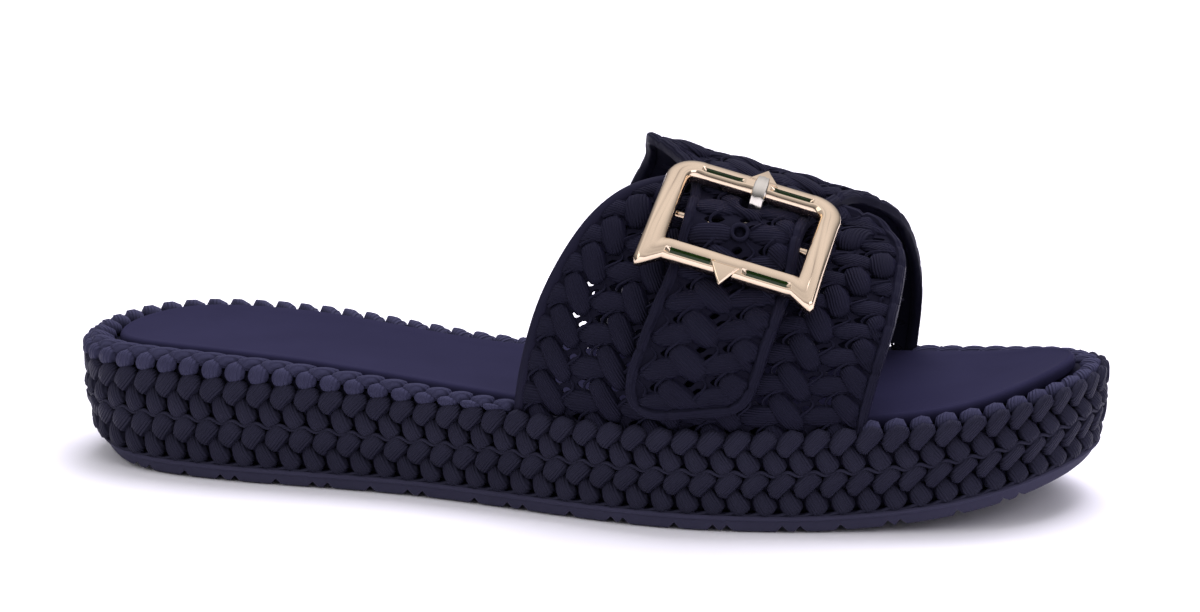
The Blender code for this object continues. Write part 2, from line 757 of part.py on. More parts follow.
def stud(bar, cutters):
    """Pyramid on the outer edge of a bar, one corner pointing away from the frame."""
    bm = bmesh.new()
    height = FRAME_THICKNESS * 0.8 + STUD_HEIGHT
    bmesh.ops.create_cone(bm, cap_ends=True, segments=4, radius1=STUD / 2, radius2=0, depth=height)
    low = -FRAME_THICKNESS * 0.3
    centre = (0, bar * (FRAME_HEIGHT / 2 - STUD * 0.08), low + height / 2)
    bmesh.ops.transform(bm, matrix=Matrix.Translation(centre), verts=bm.verts)
    made = add_mesh("stud", bm, cutters, bpy.data.materials["gold_metal"])
    hide_cutter(made)
    return made


def centre_bar(reach, cutters):
    bm = bmesh.new()
    bmesh.ops.create_cone(bm, cap_ends=True, segments=8, radius1=CENTRE_BAR / 2,
                          radius2=CENTRE_BAR / 2, depth=2 * reach)
    turn = Matrix.Rotation(math.pi / 2, 4, "Y") @ Matrix.Rotation(math.pi / 8, 4, "Z")
    bmesh.ops.transform(bm, matrix=Matrix.Translation((0, 0, -CENTRE_BAR_DROP)) @ turn, verts=bm.verts)
    made = add_mesh("centre_bar", bm, cutters, bpy.data.materials["gold_metal"])
    hide_cutter(made)
    return made


def make_prong(home, finish, place):
    """Flat prong hooked round the centre bar, through the tab's slot, its tip in the top bar's notch."""
    reach = CENTRE_BAR / 2 + PIVOT_CLEARANCE + PRONG_THICKNESS / 2
    path = []
    for k in range(6):
        angle = math.pi * (1 + k / 5)
        path.append(Vector((reach * math.cos(angle), reach * math.sin(angle) - CENTRE_BAR_DROP)))
    path += [Vector((up * FRAME_HEIGHT / 2, off * FRAME_THICKNESS)) for up, off in PRONG_PATH]
    bm = bmesh.new()
    loops = []
    for i, spot in enumerate(path):
        ahead = (path[min(i + 1, len(path) - 1)] - path[max(i - 1, 0)]).normalized()
        side = Vector((-ahead.y, ahead.x)) * PRONG_THICKNESS / 2
        half = PRONG_WIDTH / 2
        section = ((-half, spot - side), (half, spot - side), (half, spot + side), (-half, spot + side))
        loops.append([bm.verts.new(bend_frame((x, at.x, at.y))) for x, at in section])
    for near, far in zip(loops, loops[1:]):
        for k in range(4):
            n = (k + 1) % 4
            bm.faces.new((near[k], near[n], far[n], far[k]))
    bm.faces.new(loops[0])
    bm.faces.new(loops[-1])
    prong = add_mesh("buckle_prong", bm, home, finish)
    prong.matrix_world = place
    return prong


def hide_cutter(cutter):
    cutter.hide_render = True
    cutter.display_type = "WIRE"


def centre_over_floor(home):
    """Hang all pieces from one empty that puts the whole over the origin, on the floor."""
    bpy.context.view_layer.update()
    pieces = list(home.objects)
    spots = [piece.matrix_world @ vertex.co for piece in pieces for vertex in piece.data.vertices]
    low = [min(spot[axis] for spot in spots) for axis in range(3)]
    high = [max(spot[axis] for spot in spots) for axis in range(3)]
    base = bpy.data.objects.new("sandal_base", None)
    home.objects.link(base)
    base.location = (-(low[0] + high[0]) / 2, -(low[1] + high[1]) / 2, -low[2])
    for piece in pieces:
        piece.parent = base


def main():
    clear_scene()
    home = collection("slide_sandal")
    cutters = collection("cutters")
    rubber = material("outsole_rubber", 0.75)
    braid = material("braid_rubber", 0.70)
    foam = material("footbed_foam", 0.65)
    strap = material("strap_rubber", 0.65)
    gold = material("gold_metal", 0.18, 1.0)
    make_outsole(home, cutters, rubber)
    make_midsole(home, braid)
    make_footbed(home, foam)
    make_upper(home, cutters, strap)
    place = frame_place(Arch())
    make_buckle_frame(home, cutters, gold, place)
    make_prong(home, gold, place)
    centre_over_floor(home)


main()
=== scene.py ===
# %% [markdown]
# # A plaited slide sandal
# This lesson dresses the CAD model of a right slide sandal. The real one is moulded in one dark
# rubber, and its surface copies straw work: plaits round the sole, a weave over the foot. The
# shapes that repeat, such as the leaves of a plait, are best made once and laid out by Geometry
# Nodes. The smooth shapes come from rings round the sole's outline, because every layer of a sole
# follows the same line.

import math

import bmesh
import bpy
import numpy as np
from mathutils import Matrix, Vector


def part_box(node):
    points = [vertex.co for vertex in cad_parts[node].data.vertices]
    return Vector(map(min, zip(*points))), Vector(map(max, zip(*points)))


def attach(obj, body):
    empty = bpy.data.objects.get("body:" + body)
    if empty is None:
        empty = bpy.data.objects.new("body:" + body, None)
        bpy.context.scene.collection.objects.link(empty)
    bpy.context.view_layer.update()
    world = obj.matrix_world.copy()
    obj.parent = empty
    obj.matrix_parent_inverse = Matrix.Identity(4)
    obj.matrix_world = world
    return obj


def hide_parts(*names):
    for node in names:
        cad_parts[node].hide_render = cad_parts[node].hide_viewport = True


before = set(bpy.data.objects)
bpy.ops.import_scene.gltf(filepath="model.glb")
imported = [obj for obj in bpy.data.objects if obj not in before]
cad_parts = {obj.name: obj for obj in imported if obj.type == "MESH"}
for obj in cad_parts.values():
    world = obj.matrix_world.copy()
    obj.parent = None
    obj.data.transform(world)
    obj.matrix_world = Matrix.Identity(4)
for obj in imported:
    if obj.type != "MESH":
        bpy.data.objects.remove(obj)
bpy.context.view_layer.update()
MM = 0.001

# %% [markdown]
# ## Camera
# The photograph was taken low and from a little behind the outer side. Angle and distance were
# worked out from the sole's outline, so the camera is placed from those numbers and not by eye.

# %% Camera
TURN, RAISE = math.radians(13.85), math.radians(12.89)
DISTANCE = 1.0
AIM = Vector((0.00408, 0.00111, 0.04391))
forward = Vector((-math.sin(TURN) * math.cos(RAISE), math.cos(TURN) * math.cos(RAISE),
                  -math.sin(RAISE)))
lens = bpy.data.cameras.new("photo_camera")
lens.lens, lens.sensor_width = 116.97, 36.0
camera = bpy.data.objects.new("photo_camera", lens)
camera.location = AIM - forward * DISTANCE
camera.rotation_euler = forward.to_track_quat("-Z", "Y").to_euler()
bpy.context.scene.collection.objects.link(camera)
bpy.context.scene.camera = camera
print("camera at", [round(v, 3) for v in camera.location])

# %% [markdown]
# ## Light and floor
# Catalogue photographs of dark shoes use large soft lights and a white table. One wide light
# overhead and behind makes the tops of the leaves shine, and two weaker ones at the front keep the
# side readable. The floor is a plane with a plain pale material.

# %% A helper that adds a node with its settings and links
def add_node(tree, kind, inputs=None, **settings):
    """Adds a node. An input is a value, an output to link, or a node for its first output."""
    node = tree.nodes.new(kind)
    for key, value in settings.items():
        setattr(node, key, value)
    for key, value in (inputs or {}).items():
        if isinstance(value, bpy.types.Node):
            value = value.outputs[0]
        if isinstance(value, bpy.types.NodeSocket):
            tree.links.new(value, node.inputs[key])
        else:
            node.inputs[key].default_value = value
    return node


def srgb(code):
    """Linear colour of an sRGB hex value such as 3f3d55."""
    parts = [int(code[i:i + 2], 16) / 255 for i in (0, 2, 4)]
    return (*[p / 12.92 if p <= 0.04045 else ((p + 0.055) / 1.055) ** 2.4 for p in parts], 1.0)


print("hex 808080 is", round(srgb("808080")[0], 3), "in linear light")


# %% Floor, sky and lights
def new_material(name):
    """Material with its tree and its shader node."""
    made = bpy.data.materials.new(name)
    made.use_nodes = True
    return made, made.node_tree, made.node_tree.nodes["Principled BSDF"]


table_paint, _, shader = new_material("matt_white_table")
shader.inputs["Base Color"].default_value = srgb("f4f3f5")
shader.inputs["Roughness"].default_value = 0.9
bpy.ops.mesh.primitive_plane_add(size=12, location=(0, 0, -0.0002))
table = bpy.context.object
table.name = "white_table"
table.data.materials.append(table_paint)

world = bpy.data.worlds.new("studio")
world.use_nodes = True
bpy.context.scene.world = world
sky = world.node_tree.nodes["Background"]
sky.inputs["Color"].default_value = srgb("f3f1f8")
GLOW_BELOW, GLOW_ABOVE = 0.05, 1.15
look = add_node(world.node_tree, "ShaderNodeTexCoord")
steep = add_node(world.node_tree, "ShaderNodeSeparateXYZ", {0: look.outputs["Generated"]})
glow = add_node(world.node_tree, "ShaderNodeMapRange",
                {"Value": steep.outputs["Z"], "To Min": GLOW_BELOW, "To Max": GLOW_ABOVE})
world.node_tree.links.new(glow.outputs["Result"], sky.inputs["Strength"])
bpy.context.scene.view_settings.view_transform = "Standard"

LIGHTS = (
    # name, place (m), size (m), power (W), tint. The overhead one is kept out of reflections,
    # as a diffuser would do, or the gold would burn out.
    ("overhead", (0.10, 0.60, 1.15), 1.2, 27.0, "f2eeff"),
    ("front_left", (-0.9, -0.9, 0.7), 0.9, 3.5, "ffffff"),
    ("front_right", (1.0, -0.6, 0.55), 0.8, 4.0, "f6f2ff"),
)
LIT_HEIGHT = 30 * MM
for name, place, size, power, tint in LIGHTS:
    lamp = bpy.data.lights.new(name, "AREA")
    lamp.size, lamp.energy, lamp.color = size, power, srgb(tint)[:3]
    holder = bpy.data.objects.new(name, lamp)
    holder.location = place
    aim = Vector((0, 0, LIT_HEIGHT)) - Vector(place)
    holder.rotation_euler = aim.to_track_quat("-Z", "Y").to_euler()
    holder.visible_glossy = name != "overhead"
    bpy.context.scene.collection.objects.link(holder)
print(len(LIGHTS), "soft lights")

# %% [markdown]
# ## The last
# A shoemaker starts from the last: one closed outline seen from above, and heights along it. The
# same named sizes as in the CAD are used, so that each piece lands where its solid is. A closed
# cubic spline through thirteen points gives the outline, and an even walk along it gives as many
# stations as a piece needs.

# %% Sizes of the last
LENGTH = 268.0 * MM
BALL_WIDTH = 101.0 * MM
HEEL_HEIGHT = 32.0 * MM
TOE_SPRING = 11.3 * MM
HEEL_SPRING = 3.9 * MM
OUTLINE = (
    # along (share of LENGTH), across (share of BALL_WIDTH, outer side negative)
    (0.000, -0.070), (0.030, -0.218), (0.125, -0.322), (0.360, -0.362), (0.640, -0.492),
    (0.800, -0.415), (0.920, -0.290), (1.000, 0.068), (0.955, 0.313), (0.740, 0.485),
    (0.440, 0.305), (0.140, 0.352), (0.034, 0.272),
)
RIM = (
    # along (share of LENGTH), height (share of HEEL_HEIGHT)
    (0.00, 0.991), (0.10, 1.016), (0.20, 0.997), (0.40, 0.863),
    (0.60, 0.813), (0.75, 0.825), (0.90, 0.934), (1.00, 1.131),
)


def along_table(table, share):
    """Smooth value of a two-column table at an array of shares."""
    keys, values = np.array(table).T
    slopes = np.gradient(values, keys)
    share = np.clip(share, keys[0], keys[-1])
    i = np.clip(np.searchsorted(keys, share) - 1, 0, len(keys) - 2)
    step = keys[i + 1] - keys[i]
    t = (share - keys[i]) / step
    rise = (3 - 2 * t) * t * t
    bends = (t ** 3 - 2 * t * t + t) * slopes[i] + (t ** 3 - t * t) * slopes[i + 1]
    return values[i] + rise * (values[i + 1] - values[i]) + step * bends


def walk(line):
    """Length walked along a line of points, up to each of them."""
    return np.r_[0, np.cumsum(np.linalg.norm(np.diff(line, axis=0), axis=1))]


def at_lengths(line, lengths):
    """Points of a flat line at the given lengths along it."""
    walked = walk(line)
    return np.c_[np.interp(lengths, walked, line[:, 0]), np.interp(lengths, walked, line[:, 1])]


def directions(line, closed=False):
    """Unit vectors along a line, one at each point."""
    if closed:
        ahead = np.roll(line, -1, axis=0) - np.roll(line, 1, axis=0)
    else:
        ahead = np.gradient(line, axis=0)
    return ahead / np.linalg.norm(ahead, axis=1)[:, None]


def closed_curve(points, count, fine=60):
    """Even points and inward normals of the closed cubic spline through the points."""
    knots = np.array(points)
    total = len(knots)
    after = np.roll(knots, -1, axis=0)
    chord = np.linalg.norm(after - knots, axis=1)
    system, right = np.zeros((total, total)), np.zeros((total, 2))
    for i in range(total):
        back, ahead = chord[i - 1], chord[i]
        system[i, i - 1] += 1 / back
        system[i, i] += 2 / back + 2 / ahead
        system[i, (i + 1) % total] += 1 / ahead
        right[i] = 3 * ((knots[i] - knots[i - 1]) / back ** 2 + (after[i] - knots[i]) / ahead ** 2)
    slope = np.linalg.solve(system, right)
    s = np.linspace(0, 1, fine, endpoint=False)[:, None]
    pieces = []
    for i in range(total):
        start, end = slope[i] * chord[i], slope[(i + 1) % total] * chord[i]
        rise = 3 * s ** 2 - 2 * s ** 3
        bends = (s ** 3 - 2 * s ** 2 + s) * start + (s ** 3 - s ** 2) * end
        pieces.append((1 - rise) * knots[i] + rise * after[i] + bends)
    curve = np.vstack(pieces + [pieces[0][:1]])
    girth = walk(curve)[-1]
    places = at_lengths(curve, np.linspace(0, girth, count, endpoint=False))
    ahead = directions(places, closed=True)
    return places, np.c_[-ahead[:, 1], ahead[:, 0]], girth


def sole_outline(count):
    """Even points, inward normals and girth of the sole's outline."""
    return closed_curve([(a * LENGTH, b * BALL_WIDTH) for a, b in OUTLINE], count)


print(f"last {LENGTH / MM:.0f} mm long, {BALL_WIDTH / MM:.0f} mm across the ball")


# %% Set the outline over the CAD footbed
FOOTBED_INSET = 9.0 * MM
places, inward, GIRTH = sole_outline(80)
edge = places + inward * FOOTBED_INSET
low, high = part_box("footbed")
SHIFT = np.array([low[0] - edge[:, 0].min(), low[1] - edge[:, 1].min()])
print("outline", round(GIRTH * 1000, 1), "mm round, shifted", (SHIFT * 1000).round(2))


def floor_line(x):
    """Underside of the sole at x from the heel: flat tread between heel spring and toe spring."""
    toe = np.clip((x / LENGTH - 0.72) / 0.28, 0, 1.1)
    heel = np.clip((0.10 - x / LENGTH) / 0.10, 0, 1.1)
    return TOE_SPRING * toe ** 2 + HEEL_SPRING * heel ** 2


def rim_height(x):
    """Height of the sole's upper rim at x from the heel."""
    return HEEL_HEIGHT * along_table(RIM, x / LENGTH)


# %% [markdown]
# ## Rings
# The layers of the sole are stacks of rings: the outline, moved in by some inset, at some height.
# Joining each ring to the next gives the side, and rungs across the foot close both ends. That
# keeps the faces in even rows, which shade smoothly.

# %% Rings and the solid that they make
def ring(count, inset, height):
    """Closed ring in the frame. Inset and height are numbers or functions of x from the heel."""
    places, inward, _ = sole_outline(count)
    x = places[:, 0]
    inset = inset(x) if callable(inset) else inset
    height = height(x) if callable(height) else height
    spots = places + inward * np.broadcast_to(inset, count)[:, None] + SHIFT
    return np.c_[spots, np.broadcast_to(height, count)]


def skin(bm, loops, around=False, caps=True):
    """Faces from each loop of vertices to the next, with a flat cap on both ends, or all around."""
    faces = []
    for near, far in zip(loops, loops[1:] + (loops[:1] if around else [])):
        for k in range(len(near)):
            n = (k + 1) % len(near)
            faces.append(bm.faces.new((near[k], near[n], far[n], far[k])))
    if caps and not around:
        bm.faces.new(loops[0])
        bm.faces.new(loops[-1])
    return faces


def add_piece(name, bm, finish, smooth=True, outward=True):
    """Object from a mesh in the making, its faces turned outward unless they already are."""
    if outward:
        bmesh.ops.recalc_face_normals(bm, faces=bm.faces)
    mesh = bpy.data.meshes.new(name)
    bm.to_mesh(mesh)
    bm.free()
    mesh.shade_smooth() if smooth else mesh.shade_flat()
    piece = bpy.data.objects.new(name, mesh)
    if finish:
        mesh.materials.append(finish)
    bpy.context.scene.collection.objects.link(piece)
    return piece


def ring_solid(name, rings, finish, across=1, dish=None):
    """Closed solid through rings of equal count, bottom first, its top dished between the sides."""
    bm = bmesh.new()
    loops = [[bm.verts.new(point) for point in one] for one in rings]
    count = len(loops[0])
    skin(bm, loops, caps=False)
    for loop, columns in ((loops[0], 1), (loops[-1], across)):
        rungs = [[loop[0]]]
        for i in range(1, count // 2):
            left, right = loop[i].co.copy(), loop[-i].co.copy()
            inner = []
            for k in range(1, columns):
                point = left.lerp(right, k / columns)
                if dish:
                    point.z -= dish(k / columns, i / (count // 2))
                inner.append(bm.verts.new(point))
            rungs.append([loop[i], *inner, loop[-i]])
        rungs.append([loop[count // 2]])
        for near, far in zip(rungs, rungs[1:]):
            for k in range(columns):
                corners = [near[min(k, len(near) - 1)], near[min(k + 1, len(near) - 1)],
                           far[min(k + 1, len(far) - 1)], far[min(k, len(far) - 1)]]
                bm.faces.new(list(dict.fromkeys(corners)))
    return add_piece(name, bm, finish)


print("ring, first point:", ring(8, 0.0, 0.0)[0].round(4))


# %% [markdown]
# ## Rubber
# The sandal is moulded EVA and rubber: dark navy with a violet cast, matt, with a soft bloom on
# edges that face the light. Roughness is high, because a blasted mould leaves a fine grain that
# scatters light. The plait's fibres are too fine to model, so they are a bump that runs along
# each leaf, on the leaf's own UV map. The grain is 0.4 mm, about the finest that this view shows.
# The plain rubbers of core, tread, footbed and border are the same stuff without fibres; the
# footbed shines least, and the tread is a little lighter, as blasted rubber is. The core's rubber
# is near black: painted shade, because the core shows only in the gaps. The rope's rubber is
# lighter than the plait's: painted light, for the tops of the rope that catch the light.

# %% Rubber, with or without fibres
def rubber(name, color, light, roughness, grain, patch, fibres=0.0, shine=0.12):
    """Moulded rubber. Grain holds size, detail, strength and depth of its bump, patch holds size
    and detail of its two shades, and fibres counts the ridges across each leaf's UV map."""
    made, tree, shader = new_material(name)
    place = add_node(tree, "ShaderNodeTexCoord").outputs["Object"]
    size, detail, strength, depth = grain
    noise = add_node(tree, "ShaderNodeTexNoise",
                     {"Vector": place, "Scale": 1 / size, "Detail": detail})
    bump = add_node(tree, "ShaderNodeBump",
                    {"Height": noise.outputs["Fac"], "Strength": strength, "Distance": depth})
    if fibres:
        uv = add_node(tree, "ShaderNodeUVMap", uv_map="leaf")
        across = add_node(tree, "ShaderNodeSeparateXYZ", {0: uv}).outputs["Y"]
        sway = add_node(tree, "ShaderNodeTexNoise",
                        {"Vector": place, "Scale": 1 / FIBRE_SWAY, "Detail": 1.0})
        shifted = add_node(tree, "ShaderNodeMath", {0: sway.outputs["Fac"], 1: 0.12, 2: across},
                           operation="MULTIPLY_ADD")
        wave = add_node(tree, "ShaderNodeMath", {0: shifted, 1: fibres * 2 * math.pi},
                        operation="MULTIPLY")
        ridges = add_node(tree, "ShaderNodeMath", {0: wave}, operation="SINE")
        low = add_node(tree, "ShaderNodeBump",
                       {"Height": ridges, "Strength": 0.6, "Distance": FIBRE_DEPTH})
        tree.links.new(low.outputs["Normal"], bump.inputs["Normal"])
    tree.links.new(bump.outputs["Normal"], shader.inputs["Normal"])
    clouds = add_node(tree, "ShaderNodeTexNoise",
                      {"Vector": place, "Scale": 1 / patch[0], "Detail": patch[1]})
    mix = add_node(tree, "ShaderNodeMix", {"Factor": clouds.outputs["Fac"], "A": srgb(color),
                                           "B": srgb(light)}, data_type="RGBA")
    tree.links.new(mix.outputs["Result"], shader.inputs["Base Color"])
    for key, value in (("Roughness", roughness), ("Specular IOR Level", shine),
                       ("Specular Tint", srgb("c9c2ff")), ("Sheen Weight", 0.02),
                       ("Sheen Tint", srgb("9a8fe8"))):
        shader.inputs[key].default_value = value
    return made


GRAIN, GRAIN_DEPTH, FIBRE_DEPTH, FIBRE_SWAY = 0.4 * MM, 0.15 * MM, 0.2 * MM, 6 * MM
# The rope's twisted rubber is painted lighter than the plait's: painted light for the rope's top,
# which catches the light.
plait_rubber, rope_painted_light_rubber, weave_rubber = (
    rubber(name, color, light, roughness, (GRAIN, 2.0, 0.25, GRAIN_DEPTH), (11 * MM, 3.0), fibres)
    for name, color, light, fibres, roughness in (
        ("plaited_eva_rubber", "1c1c26", "282834", 8.0, 0.58),
        ("twisted_eva_rubber", "2e2e41", "3a3a4f", 7.0, 0.58),
        ("woven_eva_rubber", "11111a", "1a1a26", 10.0, 0.56)))
# The core's smooth rubber is near black: painted shade, for walls that show only in gaps and holes.
painted_shade_rubber, tread_rubber, footbed_foam, wall_rubber = (
    rubber(name, color, light, roughness, (size * MM, 3.0, 0.3, depth * MM), (18 * MM, 4.0),
           shine=shine)
    for name, color, light, size, roughness, depth, shine in (
        ("smooth_eva_rubber", "0d0d15", "12121c", 0.5, 0.65, 0.1, 0.12),
        ("blasted_tread_rubber", "323140", "3b3a4c", 0.5, 0.7, 0.15, 0.12),
        ("moulded_eva_footbed", "1e1d30", "252439", 0.45, 0.65, 0.12, 0.04),
        ("smooth_strap_rubber", "151520", "1c1b29", 0.5, 0.55, 0.08, 0.12)))
print("materials:", [made.name for made in bpy.data.materials])

# %% [markdown]
# ## Outsole
# The tread is a thin plate of harder rubber. Its edge shows as a plain line with small notches
# where the grooves of the tread run out. A stack of rings makes the plate, and one boolean cuts all
# the grooves from a row of wedges.

# %% Outsole plate
OUTSOLE_THICKNESS = 4.2 * MM
UNDERCUT = (
    # along (share of LENGTH), how far the lower edge turns in (mm)
    (0.0, 2.8), (0.02, 2.4), (0.06, 1.2), (0.12, 0.3), (0.2, 0.0), (0.86, 0.0), (0.93, 0.3),
    (0.98, 1.3), (1.0, 2.0),
)


def ramp(table, x):
    """Straight-line value in metres of a table that holds millimetres over the share of LENGTH."""
    keys, values = np.array(table).T
    return MM * np.interp(x / LENGTH, keys, values)


def undercut(inset, share=1.0):
    """Inset that grows where the sole's lower edge turns in under the heel and the toe."""
    return lambda x: inset * MM + share * ramp(UNDERCUT, x)


def above_floor(rise):
    """Height that follows the underside, a few millimetres above it."""
    return lambda x: floor_line(x) + rise * MM


PLATE_RINGS = (
    # inset (mm), share of the undercut, rise above the floor line (mm)
    (3.0, 1.3, 0.0), (2.3, 1.2, 0.3), (2.0, 1.1, 0.9), (1.8, 0.9, 2.4), (1.6, 0.8, 3.0),
    (0.9, 0.75, 3.3), (0.8, 0.7, 3.8), (1.2, 0.65, 4.2), (3.0, 0.6, 4.4),
)
outsole = ring_solid("outsole_plate", [
    ring(480, undercut(inset, share), above_floor(rise)) for inset, share, rise in PLATE_RINGS
], tread_rubber)
print("plate", [round(v / MM, 1) for v in outsole.dimensions], "mm")

# %% Notches of the tread
NOTCHES = (
    # along (share of LENGTH), counted in the photograph: a single notch, then a pair
    0.075, 0.09, 0.13, 0.168, 0.183, 0.225, 0.262, 0.277, 0.32, 0.358, 0.373, 0.427, 0.461, 0.477,
    0.525, 0.566, 0.578, 0.627, 0.663, 0.676, 0.726, 0.742, 0.778, 0.820, 0.831, 0.881, 0.92, 0.933,
)
NOTCH_RADIUS = 1.7 * MM
wedges = bmesh.new()
for share in NOTCHES:
    x = share * LENGTH
    z = float(floor_line(np.array(x)))
    slope = float(floor_line(np.array(x + MM)) - floor_line(np.array(x - MM))) / (2 * MM)
    bar = bmesh.ops.create_cone(wedges, cap_ends=True, segments=4, radius1=NOTCH_RADIUS,
                                radius2=NOTCH_RADIUS, depth=BALL_WIDTH * 1.4)
    turn = Matrix.Rotation(-math.atan(slope), 4, "Y") @ Matrix.Rotation(math.pi / 2, 4, "X")
    bmesh.ops.transform(wedges, matrix=Matrix.Translation((x + SHIFT[0], 0, z)) @ turn,
                        verts=bar["verts"])
wedge_cutter = add_piece("tread_wedges", wedges, tread_rubber, smooth=False)


def bake(piece):
    """Turns the modifiers' result into the piece's own plain mesh."""
    graph = bpy.context.evaluated_depsgraph_get()
    mesh = bpy.data.meshes.new_from_object(piece.evaluated_get(graph))
    piece.modifiers.clear()
    piece.data = mesh
    return piece


def cut(piece, cutter, operation="DIFFERENCE"):
    """Boolean of a piece with a cutter, which is then removed."""
    step = piece.modifiers.new("cut", "BOOLEAN")
    step.operation, step.solver, step.object, step.use_self = operation, "EXACT", cutter, True
    bake(piece)
    bpy.data.objects.remove(cutter)
    return piece


cut(outsole, wedge_cutter)
outsole.data.set_sharp_from_angle(angle=math.radians(40))
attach(outsole, "root")
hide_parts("outsole")
print("outsole", len(outsole.data.polygons), "faces")

# %% [markdown]
# ## Core of the platform
# Behind the plaits is a plain wall, seen only in the gaps between the leaves, so its rubber is
# painted near black as painted shade. It ends in the ledge that carries the footbed and the strap's
# foot.

# %% Core
LEDGE_DROP = 3.3 * MM
WALL_INSET = 3.1 * MM


def wall_low(x):
    """Lower edge of the plaited wall, just above the outsole."""
    return floor_line(x) + OUTSOLE_THICKNESS + 0.3 * MM


def ledge(x):
    """Height of the ledge inside the rope, which carries the footbed."""
    return rim_height(x) - LEDGE_DROP


# The core takes the near-black rubber: painted shade in the gaps between the leaves.
core = ring_solid("platform_core", [
    ring(320, undercut(4.4), wall_low),
    ring(320, undercut(3.7, 0.8), lambda x: wall_low(x) + 0.6 * MM),
    ring(320, undercut(3.2, 0.4), lambda x: wall_low(x) + 7 * MM),
    ring(320, WALL_INSET, lambda x: ledge(x) - 0.6 * MM),
    ring(320, WALL_INSET + 0.5 * MM, ledge),
    ring(320, 8.4 * MM, ledge),
    ring(320, 8.9 * MM, lambda x: ledge(x) - 0.4 * MM),
], painted_shade_rubber)
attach(core, "root")
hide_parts("midsole")
print("core:", len(core.data.polygons), "faces")

# %% [markdown]
# ## Leaves of the plait
# A plait shows one short length of strand after another, each broad where it turns at the edge
# and narrow where it dives under its neighbour. One such length is called a leaf here. It is a
# closed skin of rings round an axis, with a few dozen faces, because it will be repeated
# hundreds of times.

# %% One leaf
def make_leaf(name, length, width, height, broad, blunt=0.6, bend=0.0, rings=7, sides=8, dive=0.0,
              dome=0.8, roll=0.0):
    """Leaf along +Z from its narrow end, domed towards -Y. Broad above 1 moves its widest place
    up, a small blunt squares its ends, bend bows it towards +X, dive sinks its narrow end, a small
    dome flattens its back, and roll lifts its +X side."""
    bm = bmesh.new()
    uv = bm.loops.layers.uv.new("leaf")
    loops = []
    for i in range(rings + 1):
        t = i / rings
        f = math.sin(math.pi * t ** broad) ** blunt if 0 < i < rings else 0.0
        middle_x = bend * math.sin(math.pi * t)
        sunk = dive * (1 - t) ** 2
        z = (t - 0.5) * length
        if f == 0.0:
            loops.append([bm.verts.new((middle_x, sunk, z))])
            continue
        row = []
        for k in range(sides):
            angle = 2 * math.pi * k / sides
            x = middle_x + width / 2 * f * math.cos(angle)
            up = math.sin(angle)
            y = -height * f ** 0.8 * abs(up) ** dome if up >= 0 else 0.35 * height
            row.append(bm.verts.new((x, y + sunk - roll * (x - middle_x) * 2 / width, z)))
        loops.append(row)
    for i, (near, far) in enumerate(zip(loops, loops[1:])):
        for k in range(sides):
            n = (k + 1) % sides
            corners = [near[k % len(near)], near[n % len(near)],
                       far[n % len(far)], far[k % len(far)]]
            face = bm.faces.new(list(dict.fromkeys(corners)))
            for loop in face.loops:
                at = loops.index(near) if loop.vert in near else i + 1
                across = loop.vert.co.x / width + 0.5
                loop[uv].uv = (at / rings, across)
    leaf = add_piece(name, bm, None)
    print("leaf", name, len(leaf.data.vertices), "points")
    return leaf


# %% [markdown]
# ## A row of leaves between two rails
# Two closed curves, the rails, carry each row: one below, one above. The tree lays leaves out in
# a straight row, then moves every point to where it belongs between the rails. Sample Curve reads
# both rails at the same share of their length, so a leaf bends with the sole wherever it lies.

# %% Rails
def make_rail(name, inset, height, count=480):
    """Closed curve round the sole, at an inset and a height."""
    data = bpy.data.curves.new(name, "CURVE")
    data.dimensions = "3D"
    spline = data.splines.new("POLY")
    points = ring(count, inset, height)
    spline.points.add(len(points) - 1)
    for point, spot in zip(spline.points, points):
        point.co = (*spot, 1)
    spline.use_cyclic_u = True
    rail = bpy.data.objects.new(name, data)
    bpy.context.scene.collection.objects.link(rail)
    print(name, "has", len(points), "points")
    return rail


# %% Tree that plaits a row
def tree_inputs(tree, rows):
    """Adds named inputs and returns the group input node."""
    for name, kind, value in rows:
        socket = tree.interface.new_socket(name=name, in_out="INPUT",
                                           socket_type="NodeSocket" + kind)
        if value is not None:
            socket.default_value = value
    tree.interface.new_socket(name="Geometry", in_out="OUTPUT", socket_type="NodeSocketGeometry")
    return tree.nodes.new("NodeGroupInput")


def close_tree(tree, geometry, finish):
    """Ends a tree with its material, smooth shading and the output."""
    painted = add_node(tree, "GeometryNodeSetMaterial", {"Geometry": geometry, "Material": finish})
    shaded = add_node(tree, "GeometryNodeSetShadeSmooth", {"Geometry": painted})
    add_node(tree, "NodeGroupOutput", {0: shaded})
    print(tree.name, "has", len(tree.nodes), "nodes")


def rail_points(tree, rail, factor):
    """Node that reads a rail at a share of its length."""
    info = add_node(tree, "GeometryNodeObjectInfo", {"Object": rail}, transform_space="RELATIVE")
    return add_node(tree, "GeometryNodeSampleCurve",
                    {"Curves": info.outputs["Geometry"], "Factor": factor}, mode="FACTOR")


row_tree = bpy.data.node_groups.new("plait_row", "GeometryNodeTree")
start = tree_inputs(row_tree, (
    ("Leaf", "Object", None), ("Low Rail", "Object", None),
    ("High Rail", "Object", None), ("Leaves", "Int", 96),
    ("Pitch", "Float", 0.0066), ("Phase", "Float", 0.0),
    ("Level", "Float", 0.5), ("Height", "Float", 0.01),
    ("Lean", "Float", 0.0), ("Bare From", "Float", 9.0),
    ("Bare To", "Float", 9.1), ("Wander", "Float", 0.0),
    ("Finish", "Material", None),
))
socket = start.outputs
total = add_node(row_tree, "ShaderNodeMath", {0: socket["Leaves"], 1: socket["Pitch"]},
                 operation="MULTIPLY")
step = add_node(row_tree, "ShaderNodeCombineXYZ", {"X": socket["Pitch"]})
first_x = add_node(row_tree, "ShaderNodeMath", {0: socket["Pitch"], 1: socket["Phase"]},
                   operation="MULTIPLY")
